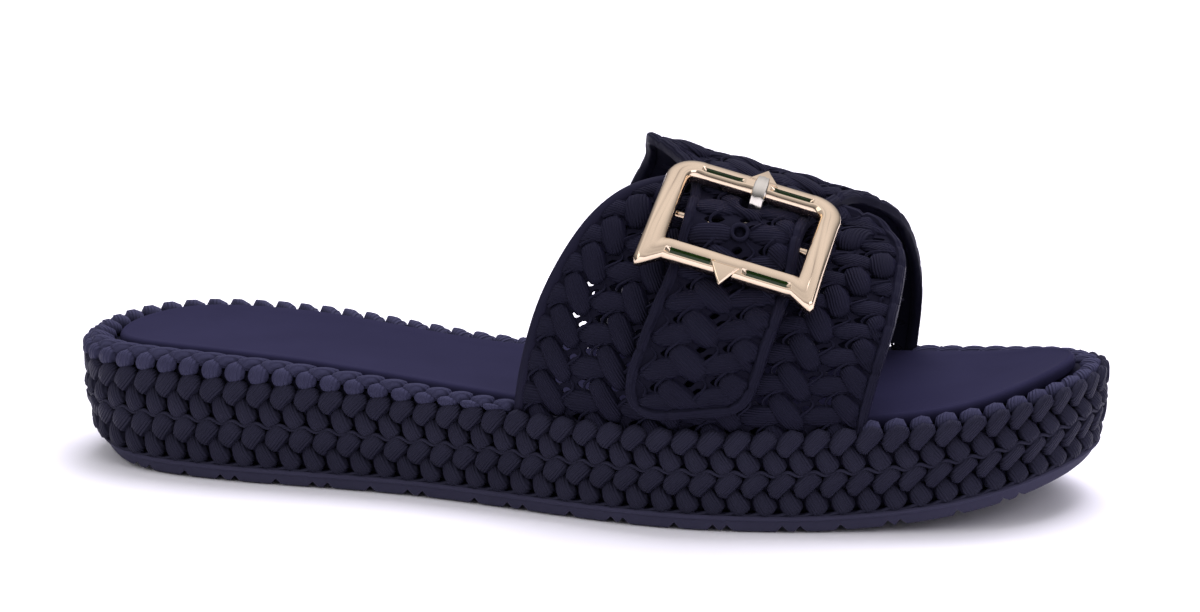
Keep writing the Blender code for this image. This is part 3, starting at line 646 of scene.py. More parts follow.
first_z = add_node(row_tree, "ShaderNodeMath", {0: socket["Height"], 1: socket["Level"]},
                   operation="MULTIPLY")
first = add_node(row_tree, "ShaderNodeCombineXYZ", {"X": first_x, "Z": first_z})
line = add_node(row_tree, "GeometryNodeMeshLine",
                {"Count": socket["Leaves"], "Start Location": first, "Offset": step})
spot = add_node(row_tree, "GeometryNodeInputPosition")
spot_x = add_node(row_tree, "ShaderNodeSeparateXYZ", {0: spot})
laps = add_node(row_tree, "ShaderNodeMath", {0: spot_x.outputs["X"], 1: total}, operation="DIVIDE")
share = add_node(row_tree, "ShaderNodeMath", {0: laps}, operation="FRACT")
rail_spot = rail_points(row_tree, socket["Low Rail"], share)
rail_x = add_node(row_tree, "ShaderNodeSeparateXYZ", {0: rail_spot.outputs["Position"]})
before = add_node(row_tree, "ShaderNodeMath", {0: rail_x.outputs["X"], 1: socket["Bare From"]},
                  operation="LESS_THAN")
after = add_node(row_tree, "ShaderNodeMath", {0: rail_x.outputs["X"], 1: socket["Bare To"]},
                 operation="GREATER_THAN")
kept = add_node(row_tree, "ShaderNodeMath", {0: before, 1: after}, operation="MAXIMUM")
wander = add_node(row_tree, "FunctionNodeRandomValue",
                  {"Min": (-1, -1, -1), "Max": (1, 1, 1), "Seed": 7}, data_type="FLOAT_VECTOR")
wander_turn = add_node(row_tree, "ShaderNodeVectorMath",
                       {0: wander.outputs["Value"], "Scale": socket["Wander"]}, operation="SCALE")
lean = add_node(row_tree, "ShaderNodeCombineXYZ", {"Y": socket["Lean"]})
turn = add_node(row_tree, "ShaderNodeVectorMath", {0: lean, 1: wander_turn}, operation="ADD")
leaf_info = add_node(row_tree, "GeometryNodeObjectInfo", {"Object": socket["Leaf"]},
                     transform_space="RELATIVE")
laid = add_node(row_tree, "GeometryNodeInstanceOnPoints",
                {"Points": line.outputs["Mesh"], "Selection": kept,
                 "Instance": leaf_info.outputs["Geometry"], "Rotation": turn})
real = add_node(row_tree, "GeometryNodeRealizeInstances", {0: laid})
at = add_node(row_tree, "GeometryNodeInputPosition")
flat = add_node(row_tree, "ShaderNodeSeparateXYZ", {0: at})
laps = add_node(row_tree, "ShaderNodeMath", {0: flat.outputs["X"], 1: total}, operation="DIVIDE")
share = add_node(row_tree, "ShaderNodeMath", {0: laps}, operation="FRACT")
low_rail = rail_points(row_tree, socket["Low Rail"], share)
high_rail = rail_points(row_tree, socket["High Rail"], share)
climb = add_node(row_tree, "ShaderNodeMath", {0: flat.outputs["Z"], 1: socket["Height"]},
                 operation="DIVIDE")
low_spot, high_spot = low_rail.outputs["Position"], high_rail.outputs["Position"]
between = add_node(row_tree, "ShaderNodeMix", {"Factor": climb, "A": low_spot, "B": high_spot},
                   data_type="VECTOR", clamp_factor=False)
across = add_node(row_tree, "ShaderNodeVectorMath", {0: high_spot, 1: low_spot},
                  operation="SUBTRACT")
out = add_node(row_tree, "ShaderNodeVectorMath",
               {0: low_rail.outputs["Tangent"], 1: across}, operation="CROSS_PRODUCT")
unit = add_node(row_tree, "ShaderNodeVectorMath", {0: out}, operation="NORMALIZE")
depth = add_node(row_tree, "ShaderNodeMath", {0: flat.outputs["Y"], 1: -1.0}, operation="MULTIPLY")
lift = add_node(row_tree, "ShaderNodeVectorMath", {0: unit, "Scale": depth}, operation="SCALE")
placed = add_node(row_tree, "ShaderNodeVectorMath",
                  {0: between.outputs["Result"], 1: lift}, operation="ADD")
moved = add_node(row_tree, "GeometryNodeSetPosition", {"Geometry": real, "Position": placed})
close_tree(row_tree, moved, socket["Finish"])


# %% Run a tree and keep its mesh
def grow(name, tree, settings):
    """A plain mesh object from a tree, with its inputs set by name before it is evaluated."""
    piece = bpy.data.objects.new(name, bpy.data.meshes.new(name))
    bpy.context.scene.collection.objects.link(piece)
    step = piece.modifiers.new("grow", "NODES")
    step.node_group = tree
    for item in tree.interface.items_tree:
        if item.in_out == "INPUT" and item.name in settings:
            step[item.identifier] = settings[item.name]
    bake(piece)
    print("grown", name, "with", len(piece.data.polygons), "faces")
    return piece


def join(name, parts, finish):
    """One piece from several, in one material. The several are removed."""
    bm = bmesh.new()
    for part in parts:
        bm.from_mesh(part.data)
        bpy.data.objects.remove(part)
    for face in bm.faces:
        face.material_index = 0
    return add_piece(name, bm, finish, outward=False)


# %% [markdown]
# ## Plaits round the sole
# Two plaits run round the sole, one above the other. In each, the leaves of the upper row lean
# back from a broad top, and the lobes of the lower row lean forward to a round foot, half a step
# further on. Counting leaves in the photograph gives a step of 6.6 mm, so 96 go round.

# %% The plaits' rails
LEAVES = 96
PITCH = GIRTH / LEAVES
BAND_TOP_DROP = (
    # along (share of LENGTH), drop of the upper plait's edge under the rim (mm)
    (0.0, 4.6), (0.2, 5.2), (0.36, 3.4), (0.46, 1.4), (0.6, 0.8), (0.8, 0.8), (0.9, 1.2),
    (1.0, 1.6),
)


def band_edge(share):
    """Height of a line up the plaited wall, at a share between the outsole and the upper edge."""
    def height(x):
        top = rim_height(x) - ramp(BAND_TOP_DROP, x)
        return wall_low(x) + (top - wall_low(x)) * share
    return height


HEEL_SWELL = ((0.0, -1.2), (0.03, -0.9), (0.09, 0.0), (1.0, 0.0))


def swollen(inset, share=0.0):
    """Inset that is less round the heel, where the plait stands out, plus a share of undercut."""
    turned_in = undercut(inset, share)
    return lambda x: turned_in(x) + ramp(HEEL_SWELL, x)


low_edge = make_rail("rail_low", swollen(2.6, 0.6), band_edge(0.0))
mid_edge = make_rail("rail_middle", swollen(2.1, 0.1), band_edge(0.5))
top_edge = make_rail("rail_top", swollen(2.2), band_edge(1.0))

# %% The plaits' leaves
BAND, ROW_SHIFT, WANDER = 10.6 * MM, 0.3, 0.04
upper_leaf = make_leaf("upper_leaf", 8.3 * MM, 5.5 * MM, 1.8 * MM, 1.15, blunt=0.22, bend=-0.8 * MM,
                       dive=-0.1 * MM, dome=0.65, roll=-0.45 * MM)
lower_leaf = make_leaf("lower_leaf", 8.2 * MM, 5.5 * MM, 2.1 * MM, 1.4, blunt=0.36, bend=0.5 * MM,
                       dive=1.5 * MM, dome=0.7, roll=0.25 * MM)
rows = []
for number, (low_rail, high_rail) in enumerate(((low_edge, mid_edge), (mid_edge, top_edge))):
    common = {"Low Rail": low_rail, "High Rail": high_rail, "Leaves": LEAVES, "Pitch": PITCH,
              "Height": BAND, "Wander": WANDER, "Finish": plait_rubber}
    rows.append(grow(f"plait_up_{number}", row_tree, {
        **common, "Leaf": upper_leaf, "Phase": ROW_SHIFT * number, "Level": 0.69,
        "Lean": math.radians(44)}))
    rows.append(grow(f"plait_down_{number}", row_tree, {
        **common, "Leaf": lower_leaf, "Phase": 0.36 + ROW_SHIFT * number, "Level": 0.31,
        "Lean": math.radians(180 - 33)}))
plaits = join("sole_plaits", rows, plait_rubber)
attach(plaits, "root")
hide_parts("midsole")
print("plaits:", len(plaits.data.polygons), "faces")

# %% [markdown]
# ## Cords between the plaits
# A thin cord winds along the line where two plaits meet, and another along the foot of the lower
# one. Curve to Mesh sweeps a small circle along a rail whose points are first moved in a wave.

# %% Tree that winds a cord along a rail
cord_tree = bpy.data.node_groups.new("winding_cord", "GeometryNodeTree")
start = tree_inputs(cord_tree, (
    ("Rail", "Object", None), ("Waves", "Int", 96), ("Swing", "Float", 0.0007),
    ("Out", "Float", 0.001), ("Phase", "Float", 0.0),
    ("Radius", "Float", 0.0004), ("Finish", "Material", None),
))
socket = start.outputs
rail = add_node(cord_tree, "GeometryNodeObjectInfo", {"Object": socket["Rail"]},
                transform_space="RELATIVE")
points = add_node(cord_tree, "ShaderNodeMath", {0: socket["Waves"], 1: 12.0}, operation="MULTIPLY")
even = add_node(cord_tree, "GeometryNodeResampleCurve",
                {"Curve": rail.outputs["Geometry"], "Count": points})
share = add_node(cord_tree, "GeometryNodeSplineParameter")
turns = add_node(cord_tree, "ShaderNodeMath",
                 {0: share.outputs["Factor"], 1: socket["Waves"], 2: socket["Phase"]},
                 operation="MULTIPLY_ADD")
angle = add_node(cord_tree, "ShaderNodeMath", {0: turns, 1: 2 * math.pi}, operation="MULTIPLY")
wave = add_node(cord_tree, "ShaderNodeMath", {0: angle}, operation="SINE")
rise = add_node(cord_tree, "ShaderNodeMath", {0: wave, 1: socket["Swing"]}, operation="MULTIPLY")
along = add_node(cord_tree, "GeometryNodeInputTangent")
outward = add_node(cord_tree, "ShaderNodeVectorMath", {0: along, 1: (0, 0, 1)},
                   operation="CROSS_PRODUCT")
pushed = add_node(cord_tree, "ShaderNodeVectorMath", {0: outward, "Scale": socket["Out"]},
                  operation="SCALE")
raised = add_node(cord_tree, "ShaderNodeCombineXYZ", {"Z": rise})
step = add_node(cord_tree, "ShaderNodeVectorMath", {0: pushed, 1: raised}, operation="ADD")
waved = add_node(cord_tree, "GeometryNodeSetPosition", {"Geometry": even, "Offset": step})
circle = add_node(cord_tree, "GeometryNodeCurvePrimitiveCircle",
                  {"Resolution": 6, "Radius": socket["Radius"]})
swept = add_node(cord_tree, "GeometryNodeCurveToMesh",
                 {"Curve": waved, "Profile Curve": circle, "Fill Caps": True})
real = add_node(cord_tree, "GeometryNodeRealizeInstances", {0: swept})
close_tree(cord_tree, real, socket["Finish"])

# %% Wind the cords
cords = [grow(f"cord_{rail.name}", cord_tree, {
    "Rail": rail, "Waves": LEAVES, "Swing": swing * MM, "Out": out * MM, "Phase": phase,
    "Radius": 0.5 * MM, "Finish": plait_rubber})
    for rail, swing, out, phase in ((mid_edge, 0.5, 0.75, 0.1), (low_edge, 0.35, 0.8, 0.0))]
band_cords = join("plait_cords", cords, plait_rubber)
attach(band_cords, "root")
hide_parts("midsole")
print("cords:", len(band_cords.data.polygons), "faces")

# %% [markdown]
# ## Rope on the rim
# A twisted rope lies on the rim: at the heel it shows round knobs outside and a strand over
# each, and towards the toe only the strands. It stops where the strap goes down into the sole.

# %% Rope strands and knobs
STRAP_FROM, STRAP_TO = 0.472 * LENGTH + SHIFT[0], 0.800 * LENGTH + SHIFT[0]
TOE_DROP = ((0.0, 0.0), (0.88, 0.0), (0.95, 0.6), (1.0, 1.7))


def rope_line(drop):
    """Height that lies a drop under the rim, and lower round the toe."""
    return lambda x: rim_height(x) - drop * MM - ramp(TOE_DROP, x)


rope_out = make_rail("rail_rope_out", swollen(2.2), rope_line(1.9))
rope_in = make_rail("rail_rope_in", 8.0 * MM, rope_line(2.2))
strand = make_leaf("rope_strand", 8.2 * MM, 4.4 * MM, 2.7 * MM, 1.0, blunt=0.42, bend=0.8 * MM,
                   dome=0.7, roll=0.4 * MM)
strands = grow("rope_strands", row_tree, {
    "Leaf": strand, "Low Rail": rope_out, "High Rail": rope_in, "Leaves": LEAVES, "Pitch": PITCH,
    "Phase": 0.55, "Level": 0.52, "Height": 6.0 * MM, "Lean": math.radians(54), "Wander": WANDER,
    "Finish": rope_painted_light_rubber, "Bare From": STRAP_FROM, "Bare To": STRAP_TO})
knob_low = make_rail("rail_knob_low", swollen(2.0), lambda x: band_edge(1.0)(x) - 0.6 * MM)
knob_high = make_rail("rail_knob_high", swollen(2.8), rope_line(0.9))
knob = make_leaf("rope_knob", 5.4 * MM, 5.9 * MM, 2.3 * MM, 1.0, blunt=0.5)
knobs = grow("rope_knobs", row_tree, {
    "Leaf": knob, "Low Rail": knob_low, "High Rail": knob_high, "Leaves": LEAVES, "Pitch": PITCH,
    "Phase": 0.2, "Level": 0.5, "Height": 4.6 * MM, "Lean": 0.0, "Wander": WANDER,
    "Finish": rope_painted_light_rubber, "Bare From": 0.45 * LENGTH + SHIFT[0], "Bare To": 9.0})
rope = join("rim_rope", [strands, knobs], rope_painted_light_rubber)
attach(rope, "root")
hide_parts("midsole")
print("rope:", len(rope.data.polygons), "faces")

# %% [markdown]
# ## Footbed
# The footbed is one smooth moulding, a little hollow under the foot, with a round edge that dips
# into the groove beside the rope.

# %% Footbed
FOOTBED_THICKNESS = 3.4 * MM


def footbed_line(inset, rise):
    """Ring of the footbed, at an inset and a rise above the ledge."""
    return ring(320, inset, lambda x: ledge(x) + 0.3 * MM + rise)


def hollow(across, along):
    """How far the footbed dips at shares across and along it."""
    return 1.6 * MM * (4 * across * (1 - across)) ** 0.8 * min(1, 6 * along, 6 * (1 - along))


ROUND_EDGE = 1.4 * MM
edge_rows = [(FOOTBED_INSET + 0.5 * MM, 0.0), (FOOTBED_INSET, 0.6 * MM)]
for angle in np.linspace(0, math.pi / 2, 7):
    edge_rows.append((FOOTBED_INSET + ROUND_EDGE * (1 - math.cos(angle)),
                      FOOTBED_THICKNESS - ROUND_EDGE * (1 - math.sin(angle))))
footbed = ring_solid("footbed_moulding", [footbed_line(*row) for row in edge_rows], footbed_foam,
                     across=16, dish=hollow)
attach(footbed, "root")
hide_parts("footbed")
print("footbed:", len(footbed.data.polygons), "faces")


# %% [markdown]
# ## The arch over the foot
# The strap is woven flat and then bent. The arch says where: at each place along the foot it is a
# rounded section from one side of the sole to the other, and a flat point keeps its distance
# along the section. Tables of the arch are worked out once, so thousands of points bend quickly.

# %% Arch
ARCH_EXPONENT = 1.85
STRAP_INSET = 2.6 * MM
ARC_LENGTH = 152.0 * MM
CREST_HEIGHT, CREST_SLOPE, CREST_PLACE = 85.3 * MM, 0.28, 0.466 * LENGTH + 24 * MM
foot_places, foot_inward, _ = sole_outline(192)
foot_line = foot_places + foot_inward * STRAP_INSET
sides = [foot_line[foot_line[:, 1] * sign > 0] for sign in (-1, 1)]
sides = [side[np.argsort(side[:, 0])] for side in sides]
ARCH_COLUMNS, ARCH_ROWS, SECTION_POINTS = 81, 201, 241
ARCH_X = np.linspace(0.44 * LENGTH, 0.84 * LENGTH, ARCH_COLUMNS)
ARCH_S = np.linspace(0, 1, ARCH_ROWS)


def arch_section(x):
    """Rounded section of the arch at x, as y and z at even lengths."""
    outer, inner = (np.interp(x, side[:, 0], side[:, 1]) for side in sides)
    base = ledge(x) + 0.3 * MM
    crest = CREST_HEIGHT - CREST_SLOPE * (x - CREST_PLACE)
    t = np.linspace(0, math.pi, SECTION_POINTS)
    power = 2 / ARCH_EXPONENT
    y = (inner + outer) / 2 - (inner - outer) / 2 * np.sign(np.cos(t)) * np.abs(np.cos(t)) ** power
    z = base + (crest - base) * np.abs(np.sin(t)) ** power
    walked = np.r_[0, np.cumsum(np.hypot(np.diff(y), np.diff(z)))]
    walked /= walked[-1]
    return np.interp(ARCH_S, walked, y), np.interp(ARCH_S, walked, z)


ARCH = np.array([np.stack(arch_section(x), axis=1) for x in ARCH_X])
slope_y, slope_z = np.gradient(ARCH[..., 0], axis=1), np.gradient(ARCH[..., 1], axis=1)
steep = np.hypot(slope_y, slope_z)
ARCH_OFF = np.stack([-slope_z / steep, slope_y / steep], axis=2)
print("arch crest", round(float(ARCH[..., 1].max()) / MM, 1), "mm up")


def over_arch(u, v, w, lift):
    """Points at u along the foot, v up the arch and w off it. Lift is a table over v's share."""
    share = np.clip(v / ARC_LENGTH, 0, 1)
    column = np.clip((u - ARCH_X[0]) / (ARCH_X[1] - ARCH_X[0]), 0, len(ARCH_X) - 1.001)
    row = np.clip(share * (len(ARCH_S) - 1), 0, len(ARCH_S) - 1.001)
    i, j = column.astype(int), row.astype(int)
    a, b = (column - i)[:, None], (row - j)[:, None]

    def read(grid):
        return ((1 - a) * (1 - b) * grid[i, j] + a * (1 - b) * grid[i + 1, j]
                + (1 - a) * b * grid[i, j + 1] + a * b * grid[i + 1, j + 1])

    spot, off = read(ARCH), read(ARCH_OFF)
    height = w + along_table(lift, share)
    sunk = np.maximum(-v, 0) + np.maximum(v - ARC_LENGTH, 0)
    return np.c_[u + SHIFT[0], spot[:, 0] + off[:, 0] * height + SHIFT[1],
                 spot[:, 1] + off[:, 1] * height - sunk]


def mesh_points(mesh):
    """Points of a mesh as rows of x, y and z."""
    points = np.empty(len(mesh.vertices) * 3)
    mesh.vertices.foreach_get("co", points)
    return points.reshape(-1, 3)


def bend(piece, lift):
    """Bends a flat piece over the arch."""
    flat = mesh_points(piece.data)
    bent = over_arch(flat[:, 0], flat[:, 1], flat[:, 2], lift)
    piece.data.vertices.foreach_set("co", bent.ravel())
    piece.data.update()
    return piece


# %% [markdown]
# ## Patterns of the two halves
# The outer panel and the inner strap are cut from flat patterns, as in leather work. Each table
# row is a corner of the pattern: how far along the foot, and how far round the arch from the
# outer side. A smooth line through the corners gives the cut edge.

# %% Patterns
PANEL = (
    (0.466, -0.030), (0.466, 0.000), (0.473, 0.089), (0.485, 0.177), (0.505, 0.266), (0.528, 0.344),
    (0.551, 0.400), (0.572, 0.436), (0.600, 0.470), (0.640, 0.492), (0.690, 0.500), (0.745, 0.500),
    (0.781, 0.492), (0.801, 0.461), (0.812, 0.410), (0.815, 0.347), (0.814, 0.225), (0.807, 0.124),
    (0.796, 0.000), (0.796, -0.030),
)
STRAP = (
    (0.476, 1.030), (0.476, 1.000), (0.482, 0.900), (0.499, 0.800), (0.522, 0.700), (0.545, 0.620),
    (0.553, 0.560), (0.560, 0.530), (0.583, 0.497), (0.604, 0.464), (0.616, 0.420), (0.620, 0.340),
    (0.613, 0.268), (0.592, 0.152), (0.581, 0.076), (0.587, 0.045), (0.605, 0.030), (0.645, 0.036),
    (0.684, 0.046), (0.697, 0.067), (0.711, 0.154), (0.722, 0.248), (0.725, 0.320), (0.728, 0.400),
    (0.742, 0.468), (0.757, 0.530), (0.775, 0.575), (0.791, 0.630), (0.799, 0.720), (0.800, 0.849),
    (0.792, 1.000), (0.792, 1.030),
)
PANEL_LIFT = (
    # share of the arch, height over it
    (0.000, 0.0), (0.455, 0.0), (0.470, 0.4 * MM), (0.485, 1.9 * MM), (0.495, 2.3 * MM),
    (1.000, 2.3 * MM),
)
STRAP_LIFT = (
    (0.000, 3.4 * MM), (0.200, 3.4 * MM), (0.266, 3.6 * MM), (0.342, 6.3 * MM), (0.384, 4.8 * MM),
    (0.430, 3.4 * MM), (0.460, 3.7 * MM), (0.530, 5.2 * MM), (0.750, 2.2 * MM), (1.000, 0.0),
)


def smooth_line(table, step=1.2 * MM):
    """Even points along a smooth line through the corners of a pattern, in metres."""
    knots = np.array(table) * (LENGTH, ARC_LENGTH)
    padded = np.vstack([2 * knots[0] - knots[1], knots, 2 * knots[-1] - knots[-2]])
    t = np.linspace(0, 1, 24, endpoint=False)[:, None]
    pieces = []
    for p0, p1, p2, p3 in zip(padded, padded[1:], padded[2:], padded[3:]):
        gaps = [max(np.linalg.norm(b - a), 1e-9) ** 0.5 for a, b in ((p0, p1), (p1, p2), (p2, p3))]
        m1 = p2 - p1 + gaps[1] * ((p1 - p0) / gaps[0] - (p2 - p0) / (gaps[0] + gaps[1]))
        m2 = p2 - p1 + gaps[1] * ((p3 - p2) / gaps[2] - (p3 - p1) / (gaps[1] + gaps[2]))
        a, b = 2 * (p1 - p2) + m1 + m2, -3 * (p1 - p2) - 2 * m1 - m2
        pieces.append(a * t ** 3 + b * t ** 2 + m1 * t + p1)
    line = np.vstack(pieces + [knots[-1:]])
    length = walk(line)[-1]
    return at_lengths(line, np.linspace(0, length, int(length / step) + 1))


panel_edge, strap_edge = smooth_line(PANEL), smooth_line(STRAP)
print("panel edge", len(panel_edge), "points, strap edge", len(strap_edge))


# %% Distance from the cut edge
def edge_distance(points, outline):
    """Signed distance to a closed outline, positive inside, and the nearest point on it."""
    a, b = outline, np.roll(outline, -1, axis=0)
    run = b - a
    far, near = np.empty(len(points)), np.empty((len(points), 2))
    for first in range(0, len(points), 4000):
        p = points[first:first + 4000, None, :]
        t = np.clip(((p - a) * run).sum(2) / np.maximum((run * run).sum(1), 1e-12), 0, 1)
        foot = a + run * t[..., None]
        distance = np.linalg.norm(p - foot, axis=2)
        best = distance.argmin(1)
        rows = np.arange(len(best))
        crossing = (a[:, 1] > p[..., 1]) != (b[:, 1] > p[..., 1])
        where = a[:, 0] + (p[..., 1] - a[:, 1]) / np.where(run[:, 1] == 0, 1, run[:, 1]) * run[:, 0]
        inside = (crossing & (p[..., 0] < where)).sum(1) % 2 == 1
        far[first:first + 4000] = distance[rows, best] * np.where(inside, 1, -1)
        near[first:first + 4000] = foot[rows, best]
    return far, near


middle = panel_edge.mean(axis=0)[None, :]
print("panel's middle lies", round(float(edge_distance(middle, panel_edge)[0][0]) / MM, 1),
      "mm inside its edge")


# %% [markdown]
# ## The weave
# Seen flat, the weave is a grid. In one column lie flat leaves across the strap, in the next
# slanted ones, half a step higher, and where their corners meet a gap goes right through. One
# small tree lays any of these shapes out in columns and rows. The result is then leaned so that
# the columns follow the rear edge, trimmed to the pattern and bent over the arch.

# %% Tree that lays a shape out in columns and rows
weave_tree = bpy.data.node_groups.new("weave_grid", "GeometryNodeTree")
start = tree_inputs(weave_tree, (
    ("Shape", "Object", None), ("Columns", "Int", 4), ("Rows", "Int", 4),
    ("Column Step", "Float", 0.015), ("Row Step", "Float", 0.0081),
    ("First Column", "Float", 0.0), ("First Row", "Float", 0.0),
    ("Level", "Float", 0.0), ("Turn", "Float", 0.0),
    ("Tip", "Float", 0.0), ("Wander", "Float", 0.0),
    ("Finish", "Material", None),
))
socket = start.outputs
row_step = add_node(weave_tree, "ShaderNodeCombineXYZ", {"Y": socket["Row Step"]})
first = add_node(weave_tree, "ShaderNodeCombineXYZ",
                 {"X": socket["First Column"], "Y": socket["First Row"], "Z": socket["Level"]})
column = add_node(weave_tree, "GeometryNodeMeshLine",
                  {"Count": socket["Rows"], "Start Location": first, "Offset": row_step})
column_step = add_node(weave_tree, "ShaderNodeCombineXYZ", {"X": socket["Column Step"]})
columns = add_node(weave_tree, "GeometryNodeMeshLine",
                   {"Count": socket["Columns"], "Offset": column_step})
grid = add_node(weave_tree, "GeometryNodeInstanceOnPoints",
                {"Points": columns.outputs["Mesh"], "Instance": column.outputs["Mesh"]})
spots = add_node(weave_tree, "GeometryNodeRealizeInstances", {0: grid})
wander = add_node(weave_tree, "FunctionNodeRandomValue",
                  {"Min": (-1, -1, -1), "Max": (1, 1, 1), "Seed": 3}, data_type="FLOAT_VECTOR")
sway = add_node(weave_tree, "ShaderNodeVectorMath",
                {0: wander.outputs["Value"], "Scale": socket["Wander"]}, operation="SCALE")
facing = add_node(weave_tree, "ShaderNodeCombineXYZ", {"X": socket["Tip"], "Z": socket["Turn"]})
turn = add_node(weave_tree, "ShaderNodeVectorMath", {0: facing, 1: sway}, operation="ADD")
shape = add_node(weave_tree, "GeometryNodeObjectInfo", {"Object": socket["Shape"]},
                 transform_space="RELATIVE")
laid = add_node(weave_tree, "GeometryNodeInstanceOnPoints",
                {"Points": spots, "Instance": shape.outputs["Geometry"],
                 "Rotation": turn})
real = add_node(weave_tree, "GeometryNodeRealizeInstances", {0: laid})
close_tree(weave_tree, real, socket["Finish"])

# %% Lean, trim and drop
BORDER = 2.9 * MM
print("the weave ends", round(BORDER / MM, 1), "mm inside the cut edge")


def lean_columns(piece, lean, rise):
    """Leans a flat piece's columns by a table over the arch's share, and its rows by a rise."""
    flat = mesh_points(piece.data)
    flat[:, 1] += rise * flat[:, 0]
    flat[:, 0] += along_table(lean, flat[:, 1] / ARC_LENGTH)
    piece.data.vertices.foreach_set("co", flat.ravel())


def trim_to_edge(piece, each, outline, keep_clear, tuck=True, avoid=()):
    """Drops shapes off the pattern and tucks the rest under its border. Each counts the points
    of one shape."""
    flat = mesh_points(piece.data)
    far, near = edge_distance(flat[:, :2], outline)
    groups = far.reshape(-1, each)
    centres = flat[:, :2].reshape(-1, each, 2).mean(axis=1)
    lost = groups.mean(axis=1) < 0.4 * MM if tuck else groups.min(axis=1) < keep_clear
    for spot, reach in avoid:
        lost |= np.linalg.norm(centres - np.array(spot), axis=1) < reach
    if tuck:
        under = far < keep_clear
        reach = np.maximum(np.abs(far), 1e-7)
        inward = (flat[:, :2] - near) / reach[:, None] * np.sign(far)[:, None]
        flat[under, :2] = (near + inward * keep_clear * 0.9)[under]
        flat[under, 2] = np.minimum(flat[under, 2], -0.4 * MM)
    piece.data.vertices.foreach_set("co", flat.ravel())
    bm = bmesh.new()
    bm.from_mesh(piece.data)
    bm.verts.ensure_lookup_table()
    gone = np.nonzero(np.repeat(lost, each))[0]
    bmesh.ops.delete(bm, geom=[bm.verts[i] for i in gone], context="VERTS")
    bm.to_mesh(piece.data)
    bm.free()
    return piece


# %% Wall of a half, flat
def thicken(bm, faces, rise):
    """Closed solid from flat faces, extruded by a rise."""
    lifted = bmesh.ops.extrude_face_region(bm, geom=faces)["geom"]
    points = [part for part in lifted if isinstance(part, bmesh.types.BMVert)]
    bmesh.ops.translate(bm, vec=(0, 0, rise), verts=points)


def flat_wall(name, outline, low, high, step=2.4 * MM):
    """Plate cut to the pattern, in small squares so that it can bend."""
    count = np.ceil(np.ptp(outline, axis=0) / step).astype(int) + 2
    middle = (outline.min(axis=0) + outline.max(axis=0)) / 2
    bm = bmesh.new()
    bmesh.ops.create_grid(bm, x_segments=count[0], y_segments=count[1], size=1)
    for vertex in bm.verts:
        vertex.co = (middle[0] + vertex.co.x * count[0] * step / 2,
                     middle[1] + vertex.co.y * count[1] * step / 2, high)
    thicken(bm, list(bm.faces), low - high)
    print(name, "starts as", count[0], "by", count[1], "squares")
    # The wall takes the near-black rubber: painted shade in the gaps of the weave.
    wall = add_piece(name, bm, painted_shade_rubber)
    pattern = bmesh.new()
    face = pattern.faces.new([pattern.verts.new((u, v, 3 * low)) for u, v in outline])
    thicken(pattern, [face], 8 * (high - low))
    return cut(wall, add_piece("pattern", pattern, wall_rubber), "INTERSECT")


# %% Bead along the cut edge
def edge_bead(name, line, outline, width, low, high, finish, segment=0.0, notch=0.3):
    """Closed bead of rounded section along part of an outline, with a notch at each segment."""
    ahead = directions(line)
    after = np.roll(outline, -1, axis=0)
    area = np.sum(outline[:, 0] * after[:, 1] - after[:, 0] * outline[:, 1])
    inward = np.c_[-ahead[:, 1], ahead[:, 0]] * np.sign(area)
    walked = walk(line)
    bm = bmesh.new()
    uv = bm.loops.layers.uv.new("leaf")
    loops = []
    for i in range(len(line)):
        dip = 0.0
        if segment:
            phase = walked[i] % segment - segment / 2
            dip = notch * math.exp(-(phase / (0.55 * MM)) ** 2)
        crown = low + (high - low) * (1 - dip)
        shoulder = low + (high - low) * (0.72 - dip)
        section = ((0.0, low), (0.0, shoulder), (0.14, crown - 0.12 * (high - low)), (0.4, crown),
                   (0.7, crown - 0.05 * (high - low)), (1.0, low + (high - low) * 0.5), (1.0, low))
        row = []
        for across, height in section:
            spot = line[i] + inward[i] * across * width
            row.append(bm.verts.new((spot[0], spot[1], height)))
        loops.append(row)
    sides = len(loops[0])
    for number, face in enumerate(skin(bm, loops)):
        i, k = divmod(number, sides)
        for loop, pair in zip(face.loops, ((i, k), (i, k + 1), (i + 1, k + 1), (i + 1, k))):
            loop[uv].uv = (walked[pair[0]] / (8 * MM), 0.5 * pair[1] / sides)
    return add_piece(name, bm, finish)


print("a bead round the strap is", round(float(walk(strap_edge)[-1]) / MM), "mm long")


# %% [markdown]
# ## Outer panel
# The outer panel rises from the outer side of the sole and ends under the strap. Its rear border
# is a smooth band, its front border is bound in short lengths.

# %% Shapes of the weave
FLAT_FACE = math.radians(-90)
LEAF_LEVEL, WALL_LOW, WALL_HIGH = -0.9 * MM, -2.2 * MM, -0.8 * MM
CORD_RADIUS, CORD_SIDE, CORD_SWING = 0.38 * MM, 4.6 * MM, 1.5 * MM
slanted, flat_leaf = (
    make_leaf(name, length * MM, width * MM, height * MM, 1.0, blunt=blunt, rings=8, dome=0.6)
    for name, length, width, height, blunt in (
        ("slanted_leaf", 14.2, 5.8, 1.9, 0.42), ("flat_leaf", 12.6, 6.2, 1.5, 0.6)))
EACH = len(slanted.data.vertices)


def make_gap(name, length, width):
    """Prism with a lens for its outline, to cut the gaps with."""
    bm = bmesh.new()
    shape = []
    for k in range(12):
        angle = 2 * math.pi * k / 12
        across = math.sin(angle) * abs(math.sin(angle)) ** 0.4
        shape.append(bm.verts.new((length / 2 * math.cos(angle), width / 2 * across, -4 * MM)))
    thicken(bm, [bm.faces.new(shape)], 8 * MM)
    return add_piece(name, bm, None, smooth=False)


lens_gap = make_gap("lens_gap", 4.9 * MM, 2.5 * MM)
corner_gap = make_gap("corner_gap", 2.6 * MM, 1.9 * MM)
GAP_EACH = len(lens_gap.data.vertices)


